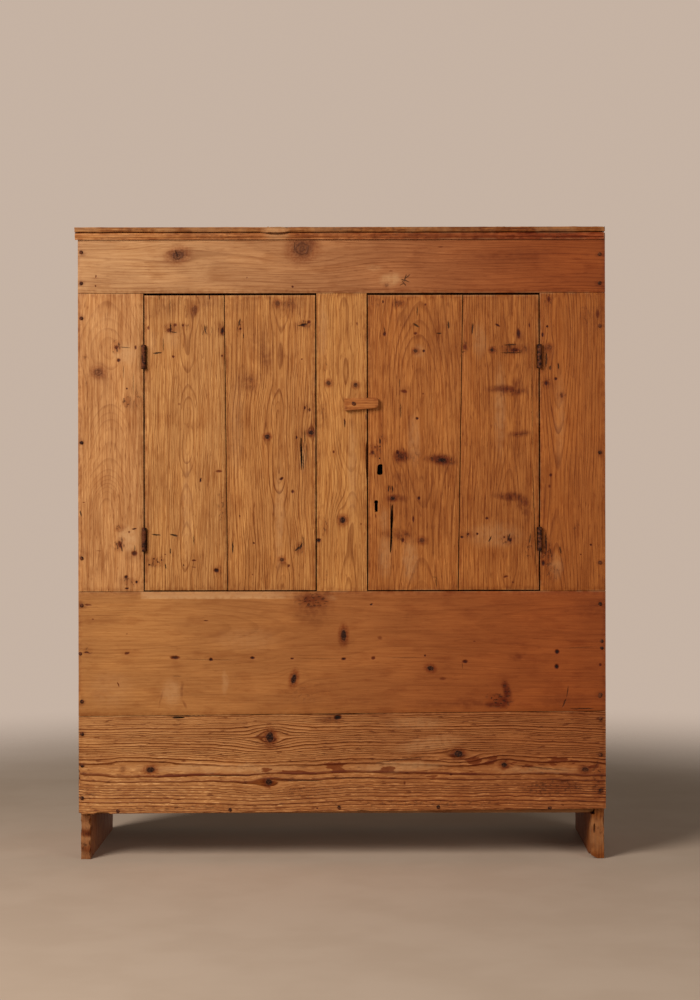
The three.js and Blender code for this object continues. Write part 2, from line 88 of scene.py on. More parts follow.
# Marks seen on the front boards: across and up from the case's middle and the floor, half width,
# half height, strength and, for a mark that lies askew, degrees clockwise. On the side boards the
# first number is how far back from the front a mark is, on the top board the second
MARKS = {
    "top_rail": {
        "knots": [(-409, 1515, 24, 16.5, 0.8, -15), (-98, 1531, 29, 26, 0.78),
            (113, 1440, 6.5, 5.5, 0.5)],
        "spots": [(-614, 1463, 2.2, 4.5, 0.6), (-615, 1439, 2, 3, 0.6), (-122, 1436, 3.8, 3, 0.7),
            (-236, 1459, 2.2, 2.5, 0.4), (249, 1535, 7.5, 2.2, 0.35), (124, 1475, 6.2, 2.5, 0.3)],
        "cuts": [(160, 1457, 1.8, 10.5, 0.8, 20), (160, 1451, 12.5, 1.5, 0.75, 18),
            (157, 1444, 1.5, 9.5, 0.7, -38), (167, 1462, 8.5, 1.4, 0.6, -42),
            (152, 1442, 8, 1.2, 0.6, -30), (-117, 1536, 1.1, 15, 0.55, 6),
            (-412, 1519, 1.2, 11, 0.8, -22)],
        "stains": [(-76, 1543, 12.5, 22.5, 0.5, 10), (-103, 1498, 30, 10, 0.3),
            (422, 1512, 150, 22.5, 0.3)],
        "pale": [(124, 1454, 32.5, 17.5, 0.75, -8), (-354, 1478, 35, 37.5, 0.35, -35),
            (82, 1483, 22.5, 10, 0.3), (-579, 1499, 65, 22.5, 0.3)],
    },
    "left_stile": {
        "knots": [(-609, 1223, 14, 12, 0.7)],
        "spots": [(-537, 1182, 2.8, 3, 0.8), (-558, 1253, 5.2, 5.8, 0.75), (-563, 1285, 6.5, 6.5, 0.6),
            (-515, 1285, 3, 6.5, 0.7), (-519, 770, 8.5, 7.5, 0.7), (-514, 698, 3.5, 4, 0.85),
            (-540, 711, 5.5, 4.5, 0.8, -25), (-538, 682, 6, 2.8, 0.8), (-555, 792, 6.5, 10, 0.6, -12),
            (-519, 831, 7, 2.2, 0.85, -8), (-645, 897, 4.2, 1.5, 0.5), (-532, 823, 3, 3.5, 0.6),
            (-608, 776, 10, 2, 0.25)],
        "cuts": [(-653, 870, 2, 9, 0.8, -16), (-545, 1224, 1, 17.5, 0.35), (-521, 1194, 1, 30, 0.4),
            (-514, 1178, 1, 20, 0.35), (-542, 1285, 15, 1.1, 0.6, 4), (-551, 783, 1.8, 10, 0.8, -14),
            (-518, 781, 1.2, 10, 0.6)],
        "stains": [(-600, 1217, 34, 28, 0.5), (-529, 1143, 22.5, 20, 0.3), (-523, 763, 22.5, 17.5, 0.5),
            (-538, 703, 30, 12.5, 0.3), (-645, 771, 12.5, 17.5, 0.4)],
        "scars": [(-563, 1286, 12.5, 17.5, 0.8), (-537, 1151, 10, 17.5, 0.8), (-554, 791, 15, 20, 0.8),
            (-512, 1156, 10, 25, 0.5), (-555, 833, 15, 10, 0.7), (-642, 1264, 7.5, 10, 0.4),
            (-530, 698, 22.5, 12.5, 0.5), (-639, 1204, 7.5, 17.5, 0.3)],
        "pale": [(-543, 1269, 32.5, 30, 0.7), (-537, 806, 30, 36, 1.0), (-604, 1354, 35, 45, 0.25)],
    },
    "left_door_outer_board": {
        "knots": [(-369, 1380, 9.5, 8, 0.5)],
        "spots": [(-298, 1326, 5.5, 10.5, 0.8, 12), (-431, 1328, 7.5, 6.5, 0.5),
            (-416, 1341, 5, 4.5, 0.55), (-396, 1340, 4.2, 3.8, 0.5), (-421, 1262, 4.2, 4, 0.6, 20),
            (-299, 1264, 3, 3.5, 0.6), (-483, 1334, 3, 6.5, 0.55), (-307, 975, 10, 4.2, 0.55),
            (-353, 953, 2.8, 7.2, 0.85, 8), (-314, 727, 7.8, 6.2, 0.8, 25), (-370, 752, 6.5, 3, 0.6),
            (-370, 735, 7.5, 2, 0.35), (-482, 741, 2.2, 2.8, 0.8), (-470, 756, 2, 2.5, 0.8),
            (-461, 748, 2, 2.8, 0.7), (-451, 753, 2.2, 2, 0.7), (-396, 740, 2, 3, 0.7),
            (-442, 767, 2.2, 2, 0.6), (-406, 1143, 5, 4, 0.3)],
        "cuts": [(-460, 1271, 12.2, 1.9, 0.9, -5), (-446, 1291, 1, 17.5, 0.6),
            (-427, 1336, 1.5, 11.5, 0.8, -6), (-420, 1323, 9, 1.5, 0.75, 10),
            (-341, 1330, 2, 10, 0.75, -8), (-346, 1321, 1.2, 6.5, 0.6, 12), (-464, 816, 12.2, 2, 0.9, 7),
            (-420, 815, 11, 2.8, 0.9, 12), (-370, 803, 1.2, 13.5, 0.6), (-429, 775, 1.5, 7.5, 0.85),
            (-441, 737, 1.8, 7.5, 0.85, -12), (-456, 1410, 1.1, 8.5, 0.7), (-330, 1411, 1.2, 7.5, 0.8),
            (-429, 1388, 1, 20, 0.45), (-404, 1403, 0.9, 12.5, 0.4), (-324, 1328, 1, 10, 0.4)],
        "stains": [(-369, 1371, 22.5, 20, 0.4), (-414, 1331, 27.5, 20, 0.3), (-299, 1328, 15, 20, 0.35),
            (-341, 1396, 60, 22, 0.42), (-440, 1385, 45, 32, 0.35)],
        "scars": [(-429, 1333, 16.2, 15, 0.9), (-299, 1326, 11.2, 15, 0.7), (-341, 1326, 8.8, 12.5, 0.5),
            (-465, 748, 22.5, 15, 0.6), (-300, 890, 10, 45, 0.55), (-312, 728, 15, 12.5, 0.5),
            (-389, 1336, 15, 10, 0.35)],
        "pale": [(-424, 1308, 25, 30, 0.35), (-387, 891, 15, 150, 0.3), (-474, 1296, 15, 35, 0.3)],
    },
    "left_door_inner_board": {
        "knots": [(-160, 1395, 8, 8, 0.8), (-186, 1061, 8.5, 8, 0.95), (-76, 1071, 10, 7.5, 0.95),
            (-150, 753, 7.5, 7, 0.85)],
        "spots": [(-99, 1255, 2.5, 2.8, 0.6), (-113, 1059, 2.8, 5, 0.75), (-151, 956, 6.5, 4.2, 0.8, -30),
            (-123, 924, 4.2, 5.8, 0.7), (-220, 795, 3, 2.5, 0.7), (-133, 738, 3.8, 4.8, 0.65),
            (-223, 716, 3, 3, 0.4), (-255, 863, 2, 2.8, 0.6), (-95, 1340, 6.5, 4.8, 0.6, 15),
            (-81, 1348, 5.5, 5, 0.6), (-92, 1133, 2.8, 5, 0.7), (-80, 1128, 3.5, 5, 0.6),
            (-253, 1331, 3.5, 3.8, 0.6)],
        "cuts": [(-255, 1347, 2.2, 11, 0.85, 12), (-245, 1314, 1.1, 6.8, 0.8),
            # The cut at 1023 on the next line paints shade into the crack cut out of this board
            (-96, 1341, 14.5, 2, 0.85, -12), (-101, 1023, 2.5, 40, 1, -2), (-96, 998, 1.5, 22.5, 0.8),
            (-111, 780, 9, 2.8, 0.85, -40), (-102, 787, 2.5, 10.5, 0.85, 22), (-273, 784, 1.9, 15.8, 0.9),
            (-96, 800, 1.5, 15, 0.5, -8), (-92, 1060, 1.5, 20, 0.6), (-88, 1020, 1.1, 25, 0.5),
            (-179, 1403, 1, 15, 0.5)],
        "stains": [(-190, 1258, 22, 48, 0.6, -12), (-232, 1200, 34, 34, 0.6, 20),
            (-129, 1388, 45, 24, 0.55), (-214, 1303, 30, 60, 0.4), (-104, 1335, 30, 12.5, 0.35),
            (-84, 1073, 25, 15, 0.5), (-97, 1015, 20, 50, 0.3), (-105, 785, 20, 22.5, 0.3),
            (-246, 1396, 45, 24, 0.4)],
        "scars": [(-254, 1338, 10, 15, 0.6), (-91, 1343, 17.5, 12.5, 0.7), (-229, 1193, 17.5, 20, 0.35),
            (-107, 783, 12.5, 17.5, 0.7), (-89, 1133, 10, 15, 0.5), (-129, 1395, 20, 12.5, 0.4)],
        "pale": [(-156, 853, 12.5, 150, 0.35), (-98, 1003, 8.5, 35, 0.5), (-264, 1078, 20, 150, 0.2)],
    },
    "centre_stile": {
        "knots": [(-33, 1195, 7.8, 7.8, 0.85), (35, 1190, 7.5, 7.5, 0.85), (2, 852, 10, 11, 0.95)],
        "spots": [(-20, 1023, 3.2, 4.5, 0.6), (8, 1097, 2.2, 10, 0.8, -6), (39, 1343, 2.5, 5.2, 0.5),
            (-58, 802, 6.5, 6.5, 0.8), (48, 842, 2.2, 3.2, 0.5), (61, 1110, 2.5, 10, 0.6)],
        "cuts": [(-58, 801, 7.5, 2, 0.7, -24), (8, 1092, 1.2, 8.5, 0.8)],
        "stains": [(-33, 1193, 15, 15, 0.35), (35, 1188, 15, 15, 0.35), (3, 850, 20, 22.5, 0.35),
            (-60, 800, 12.5, 15, 0.4)],
        "scars": [(-42, 837, 10, 25, 0.5), (-41, 1238, 7.5, 20, 0.45), (-42, 1128, 7.5, 35, 0.35),
            (-37, 712, 10, 15, 0.3)],
        "pale": [(26, 977, 12.5, 150, 0.3), (-46, 1328, 12.5, 85, 0.3)],
    },
    "right_door_inner_board": {
        "knots": [(145, 1395, 9, 7.2, 0.6), (185, 1275, 6.8, 6.5, 0.85), (148, 1012, 11, 9, 0.8),
            (251, 1002, 14, 7.2, 1, 4), (127, 906, 8.5, 6.5, 0.95), (200, 801, 8.5, 8, 0.8, 20)],
        "spots": [(104, 1398, 2.5, 5, 0.7), (108, 1318, 4.2, 7.2, 0.7, 12), (206, 1275, 4, 4, 0.8),
            (189, 1106, 4.5, 4.5, 0.8), (204, 1168, 3, 3, 0.4), (193, 907, 4.2, 5, 0.75),
            (179, 854, 3.2, 10, 0.6), (95, 1006, 2.2, 2.5, 0.9), (153, 802, 4.5, 6, 0.65),
            (210, 1391, 2.8, 4, 0.6), (185, 1319, 5, 4, 0.6), (156, 1174, 10, 5, 0.5, 8),
            (140, 1022, 5, 6, 0.6), (76, 1021, 4, 6, 0.55), (84, 1034, 3, 4.5, 0.5),
            (85, 862, 2.2, 7, 0.5)],
        "cuts": [(187, 1339, 9.2, 3, 0.85, 30), (268, 1340, 2.5, 10.8, 0.85, -4),
            (244, 1319, 7.2, 1.8, 0.8, 3), (135, 1399, 1.2, 17.5, 0.55), (190, 1375, 1.4, 12.5, 0.7),
            (148, 1125, 1.4, 20, 0.7), (96, 1049, 1.8, 8, 0.95), (96, 1036, 2, 2.2, 0.9),
            # The long cut at 835 on the next line paints shade into the split cut out of this board
            (124, 835, 2.5, 62.5, 1, -1), (117, 930, 1.5, 7.5, 0.85), (127, 931, 1.8, 7.5, 0.85, -12),
            (236, 697, 1.2, 15, 0.75), (232, 709, 4.8, 1, 0.5), (108, 1327, 1.2, 7.5, 0.7, -10),
            (145, 1194, 1.2, 12.5, 0.5)],
        "stains": [(151, 1010, 27.5, 22.5, 0.8), (246, 1003, 44, 15, 1.0, 5), (256, 996, 20, 20, 0.9),
            (253, 984, 22.5, 17.5, 0.4), (141, 907, 34, 13, 0.85), (135, 817, 50, 15, 0.75),
            (198, 802, 20, 15, 0.45), (143, 960, 17.5, 20, 0.45), (151, 1357, 25, 22.5, 0.35),
            (156, 1175, 22.5, 12.5, 0.35), (176, 902, 65, 100, 0.25), (83, 1027, 15, 20, 0.3),
            (246, 1315, 40, 100, 0.25)],
        "scars": [(151, 1012, 22.5, 17.5, 0.8), (83, 1025, 17.5, 20, 0.75), (246, 1002, 44, 14, 0.75, 4),
            (155, 807, 20, 17.5, 0.5), (121, 930, 12.5, 10, 0.6), (103, 1052, 15, 15, 0.5),
            (183, 1007, 15, 22.5, 0.3), (144, 1390, 17.5, 12.5, 0.5), (86, 1395, 15, 12.5, 0.35)],
        "pale": [(170, 752, 22.5, 60, 0.4), (108, 762, 20, 60, 0.35), (181, 1052, 17.5, 75, 0.3),
            (194, 1277, 17.5, 20, 0.25), (106, 852, 12.5, 35, 0.3)],
    },
    "right_door_outer_board": {
        "knots": [(376, 1277, 6.5, 6, 0.9)],
        "spots": [(443, 1318, 5, 15, 0.7, -4), (391, 1339, 7.8, 3.2, 0.75, 30),
            (470, 1339, 2.2, 7.5, 0.6), (363, 856, 4.5, 3.8, 0.7), (300, 809, 4.2, 3.5, 0.85),
            (316, 816, 3, 4.2, 0.7), (339, 817, 3.8, 3.8, 0.8), (421, 802, 5.5, 6, 0.75),
            (410, 710, 7.5, 3, 0.55, -12), (428, 696, 2.5, 3.5, 0.5), (309, 1285, 6.5, 10, 0.5),
            (434, 1277, 12.5, 6, 0.55), (406, 809, 2.5, 4, 0.5)],
        "cuts": [(328, 1330, 2.2, 15, 0.85, 6), (423, 1290, 16.5, 1.8, 0.8, -3),
            (426, 1270, 27.5, 1.6, 0.75), (301, 1272, 10, 1.8, 0.6, -10), (371, 804, 1.8, 9, 0.85, 28),
            (471, 805, 1.8, 13.5, 0.7, 10), (418, 808, 2, 11.5, 0.8, 18), (477, 1152, 1.1, 155, 0.5),
            (482, 851, 1.2, 155, 0.6, -2), (447, 1066, 22.5, 1.4, 0.3, -8)],
        "stains": [(414, 1177, 60, 14, 1.0, 4), (439, 1188, 14, 26, 0.85), (439, 1102, 12.5, 105, 0.4),
            (444, 1068, 34, 10, 1.0, -6), (425, 910, 46, 13, 1.0, 7), (456, 894, 20, 20, 0.95),
            (460, 872, 13, 26, 0.7), (434, 1279, 40, 20, 0.45), (444, 1314, 12.5, 22.5, 0.45),
            (416, 852, 45, 75, 0.22), (321, 977, 25, 100, 0.2)],
        "scars": [(434, 1279, 37.5, 15, 0.75), (425, 908, 44, 11, 0.6, 7), (414, 1178, 54, 10, 0.5, 4),
            (309, 1285, 12.5, 20, 0.5), (416, 802, 20, 12.5, 0.6), (316, 814, 20, 10, 0.5),
            (468, 776, 10, 30, 0.5), (381, 1277, 12.5, 10, 0.4)],
        "pale": [(396, 1127, 15, 125, 0.3), (383, 814, 75, 35, 0.3), (346, 1302, 20, 50, 0.25)],
    },
    "right_stile": {
        "knots": [(520, 1284, 8.5, 7.5, 0.6)],
        "spots": [(515, 1336, 3.5, 4, 0.75), (503, 1315, 3.8, 7, 0.7), (536, 1205, 5, 5, 0.75),
            (512, 1194, 6, 7.5, 0.7), (523, 964, 4.8, 4.8, 0.6), (623, 789, 3, 3, 0.7),
            (598, 765, 2.5, 2.5, 0.5), (504, 744, 4.8, 9, 0.75), (519, 1404, 5.5, 9, 0.5),
            (550, 1163, 5.5, 8, 0.35), (520, 936, 3.5, 5, 0.4), (641, 1367, 5.5, 15, 0.4)],
        "cuts": [(512, 1252, 2, 21.5, 0.9), (543, 1236, 1.9, 9, 0.85, -6), (522, 1232, 3, 6, 0.7),
            (547, 776, 1.9, 10.5, 0.85, -10), (511, 796, 2.2, 27.5, 0.85, -2),
            (522, 773, 2, 9.5, 0.6, -12), (499, 816, 1.5, 15, 0.6)],
        "stains": [(519, 1272, 17.5, 25, 0.5), (639, 1362, 17.5, 50, 0.4), (524, 1192, 25, 22.5, 0.3),
            (513, 781, 17.5, 40, 0.5), (586, 901, 22.5, 150, 0.2)],
        "scars": [(519, 1402, 12.5, 17.5, 0.5), (514, 1192, 12.5, 15, 0.6), (549, 1162, 12.5, 15, 0.45),
            (513, 764, 17.5, 35, 0.7), (588, 826, 10, 25, 0.4), (609, 1362, 12.5, 30, 0.35),
            (526, 721, 20, 25, 0.45)],
        "pale": [(536, 736, 20, 35, 0.35), (546, 1102, 15, 125, 0.2)],
    },
    "upper_front_board": {
        "knots": [(4, 564, 9, 20, 0.98), (-121, 455, 8.5, 17, 0.98, 14), (221, 481, 11.5, 8.5, 0.95, 18)],
        "spots": [(-538, 520, 7.5, 4, 0.6, -8), (-418, 509, 14, 5.5, 0.75, 2), (-328, 504, 5.5, 4.5, 0.8),
            (-224, 508, 7, 4, 0.8), (-125, 506, 5, 3.2, 0.7), (4, 505, 7, 3.5, 0.8),
            (78, 507, 6.5, 4.8, 0.6), (208, 513, 3.2, 3.5, 0.7), (308, 498, 8, 5.5, 0.7),
            (538, 522, 6.8, 6.8, 0.85), (537, 485, 6.5, 6.8, 0.9), (646, 489, 4, 5, 0.6),
            (-560, 442, 2.2, 7.5, 0.55, -20), (-623, 605, 3.2, 2.2, 0.5), (-639, 522, 8.5, 2.5, 0.55),
            (-635, 641, 11, 2.5, 0.5, 3), (-340, 601, 7, 1.5, 0.6, 5), (73, 641, 4.2, 2.5, 0.9, -20),
            (95, 557, 7.5, 6.5, 0.3), (252, 455, 11.5, 4.2, 0.35), (331, 548, 4.5, 3.2, 0.3),
            (-538, 568, 3, 2.5, 0.3)],
        "cuts": [(564, 421, 1.4, 16, 0.6, 8), (556, 394, 1.9, 13, 0.7, 22), (301, 487, 1.2, 8.5, 0.4),
            (600, 379, 32.5, 1.5, 0.8, -1), (-325, 503, 65, 1.1, 0.3, 1), (-55, 505, 60, 1, 0.3),
            (157, 508, 50, 1, 0.28), (595, 532, 40, 1.2, 0.3, -3), (-413, 462, 12.5, 1.2, 0.35)],
        "stains": [(-78, 654, 44, 18, 1.0), (-76, 632, 58, 44, 0.6), (-37, 667, 17.5, 10, 0.5),
            (2, 552, 15, 30, 0.3), (384, 390, 40, 11, 1.0), (406, 400, 20, 18, 1.0),
            (413, 422, 11, 30, 1.0, -14), (312, 392, 60, 14, 0.5), (-401, 426, 4, 26, 0.6, 3),
            (-395, 393, 4, 14, 0.6, -20), (-453, 403, 3, 24, 0.45, 15), (438, 511, 24, 10, 0.8, -8),
            (495, 501, 70, 20, 0.25), (-65, 427, 65, 35, 0.22), (-100, 612, 30, 25, 0.35),
            (270, 392, 110, 12.5, 0.35), (620, 626, 55, 30, 0.35), (-5, 402, 150, 17.5, 0.22),
            (545, 401, 75, 20, 0.3)],
        "scars": [(392, 400, 36, 20, 0.95), (411, 425, 10, 26, 0.8, -14), (-72, 650, 46, 20, 0.8),
            (-105, 417, 55, 25, 0.2), (-636, 523, 12.5, 12.5, 0.4)],
        "pale": [(-426, 423, 27.5, 37.5, 0.5), (-293, 448, 10, 32.5, 0.4), (-581, 428, 65, 50, 0.22),
            (-30, 657, 20, 7.5, 0.3), (-240, 553, 90, 30, 0.2)],
    },
    "lower_front_board": {
        "knots": [(-181, 310, 13.5, 17.5, 1), (-480, 228, 14.5, 10, 1.0, -12), (-184, 197, 12, 11, 0.97),
            (291, 267, 14, 11.5, 1.0), (405, 239, 9.5, 9, 1.0), (608, 227, 12.5, 9, 0.85),
            (-550, 228, 6.5, 8.5, 0.35)],
        "spots": [(-11, 359, 11, 6.5, 0.95, -8), (-397, 250, 7.5, 2.5, 0.4), (156, 194, 3.5, 6, 0.4),
            (-63, 131, 3, 3, 0.6), (272, 215, 4, 3.5, 0.5)],
        # The first cut on the next line paints shade into the slit cut out of this board
        "cuts": [(-411, 359, 16, 2.8, 0.9, 1), (-381, 362, 60, 1.1, 0.6), (-5, 366, 60, 1.2, 0.6),
            (-106, 201, 65, 2, 0.6, 2), (-293, 213, 85, 1.8, 0.5, -1), (19, 207, 75, 1.8, 0.5),
            (144, 252, 75, 1.8, 0.45, -7), (495, 231, 75, 1.8, 0.5, 6)],
        "stains": [(-30, 355, 35, 12.5, 0.5), (290, 261, 25, 15, 0.5), (-186, 297, 25, 25, 0.35),
            (-256, 362, 75, 7.5, 0.3), (545, 186, 85, 30, 0.3), (607, 221, 22.5, 15, 0.4)],
        "scars": [(525, 183, 85, 22, 0.6), (-30, 352, 40, 10, 0.5), (-98, 175, 50, 18, 0.4),
            (-631, 178, 15, 50, 0.4), (640, 201, 15, 60, 0.6), (219, 142, 300, 7.5, 0.4),
            (-406, 133, 200, 7.5, 0.35)],
        "red": [(-17, 235, 30, 15, 0.85, 6), (-191, 228, 20, 8, 0.85), (-117, 221, 60, 7, 0.75, 5),
            (330, 250, 30, 14, 0.85, 6), (368, 251, 26, 15, 0.7, -30), (109, 230, 34, 8, 0.75, -4),
            (536, 250, 32, 14, 0.8, -12), (582, 244, 22, 14, 0.65, 20), (450, 238, 60, 7, 0.6, 8),
            (-38, 282, 22, 15, 0.45), (320, 221, 28, 8, 0.55), (630, 236, 22, 14, 0.6, -30),
            (-420, 214, 120, 6, 0.5, 1), (200, 214, 90, 6, 0.5, -1)],
        "pale": [(-331, 231, 250, 11, 0.6), (144, 235, 125, 13.8, 0.6, -2), (220, 292, 100, 20, 0.35, -8),
            (495, 226, 125, 10, 0.4), (185, 342, 85, 17.5, 0.3)],
    },
    "top_board_front": {
        "pale": [(-164, -10, 36, 14, 1.0)],
        "stains": [(-420, -12, 160, 90, 0.12), (-30, -12, 150, 60, 0.14), (230, -12, 120, 70, 0.18),
            (560, -12, 130, 80, 0.18)],
        "scars": [(-520, -12, 70, 40, 0.3), (60, -12, 110, 40, 0.35), (420, -12, 120, 40, 0.35)],
    },
    "side_board_left": {
        "pale": [(22, 84, 16, 11, 0.75), (22, 46, 16, 14, 0.7), (22, 12, 16, 9, 0.55)],
        "stains": [(22, 103, 18, 8, 0.45), (22, 65, 18, 9, 0.4), (22, 14, 18, 12, 0.4)],
        "scars": [(22, 76, 16, 22, 0.75), (22, 30, 16, 20, 0.65)],
    },
    "side_board_right": {
        "pale": [(22, 62, 44, 40, 0.5)],
        "stains": [(22, 104, 18, 10, 0.5)],
        "scars": [(22, 70, 16, 12, 0.4)],
    },
    "bead_moulding": {
        "pale": [(-160, 1562, 34, 12, 0.9), (-560, 1562, 60, 8, 0.4)],
        "stains": [(-60, 1562, 90, 30, 0.35), (330, 1562, 260, 30, 0.3), (-420, 1562, 120, 30, 0.25)],
        "scars": [(-300, 1562, 90, 10, 0.3), (120, 1562, 120, 10, 0.35), (520, 1562, 110, 10, 0.35)],
    },
}

# Nails in the wide front boards that aren't solids of the frame: across, up
EXTRA_NAILS = [
    (-562, 125), (-281, 128), (-8, 133), (240, 134), (519, 131), (650, 531), (650, 548), (645, 410),
    (-655, 519),
]

# Nails through the door boards into their battens, across and up; the points are hammered flat behind
DOOR_NAILS = {
    "left": [(-430, 1333), (-341, 1322), (-299, 1327), (-254, 1338), (-96, 1341), (-462, 815), (-420, 814),
             (-314, 809), (-273, 784), (-111, 781)],
    "right": [(108, 1319), (187, 1339), (268, 1340), (328, 1330), (445, 1318), (96, 786), (153, 802),
              (236, 780), (300, 809), (420, 805)],
}

# Nails down through the top: across, and back from the front
TOP_NAILS = [(x, y) for x in (-646, 641) for y in (44, 168, 292, 404)]
TOP_NAILS += [(x, 10) for x in (-470, -290, 40, 215, 396, 560)]

# Nails in each back board: how far up, and in shares of the board's width
BACK_NAIL_LEVELS = (123, 930, 1190, 1556)
BACK_NAIL_SHARES = (0.14, 0.86)

# Lengths of the nails that go through the front boards, of those at the bin's foot, and of those in the
# top and the back; and how deep the last have been driven
FRONT_NAIL = 58
BIN_NAIL = 30
CASE_NAIL = 34
NAIL_SUNK = 3

# Bits broken or worn out of the boards: name, middle across, back and up, size, turn in degrees, seed
# and, where the bit is rougher than most, how rough
BITES = {
    "lower_front_board": [
        ("toe_chip", (-602, 8, 116), (46, 60, 13), (0, -3, 0), 11),
        ("corner_chip", (-659, 2, 112), (26, 40, 18), (0, 20, 0), 12),
        ("edge_chip", (52, 0, 122.5), (36, 12, 8), (0, 0, 0), 13),
        ("side_chip", (-659, -1, 208), (7, 14, 44), (0, 0, 0), 14),
        ("slit", (-409, 2, 358), (30, 26, 3), (0, -2, 0), 15)],
    "centre_stile": [("hollow", (63.5, 0, 1003), (8, 22, 104), (0, 0, 0), 3)],
    "left_door_inner_board": [("crack", (-101, 4, 1018), (1.6, 50, 84), (0, 0, 0), 5)],
    "right_door_inner_board": [
        ("split", (124, 8, 830), (3.6, 56, 134), (0, 2.6, 0), 8),
        ("wide_split", (125.4, 6, 852), (5.2, 40, 58), (0, 2.6, 0), 9)],
    "side_board_left": [
        ("foot_chip", (-633, 22, 95), (8, 18, 20), (0, 0, 0), 21),
        ("foot_chip", (-633, 22, 68), (6, 14, 26), (0, 0, 0), 22),
        ("foot_chip", (-633, 22, 41), (8, 16, 16), (0, 0, 0), 23),
        ("foot_chip", (-633, 22, 17), (6, 18, 22), (0, 0, 0), 24),
        ("foot_chip", (-658, 22, 84), (4, 12, 30), (0, 0, 0), 25)],
    "side_board_right": [
        ("foot_chip", (658, 22, 92), (7, 16, 30), (0, 0, 0), 21),
        ("foot_chip", (658, 22, 50), (4, 12, 26), (0, 0, 0), 22),
        ("foot_chip", (633, 22, 76), (5, 14, 24), (0, 0, 0), 23)],
    "top_board_front": [
        ("splinter", (-166, -15, 1590), (96, 20, 13), (0, 4, 0), 2, 0.09),
        ("corner", (662, -16, 1586), (16, 16, 16), (0, 0, 30), 6, 0.09),
        ("chip", (402, -13, 1588), (40, 9, 9), (0, 5, 0), 7, 0.09)],
    "bead_moulding": [("broken", (-160, -10, 1571), (66, 24, 14), (0, 0, 0), 4, 0.09)],
}
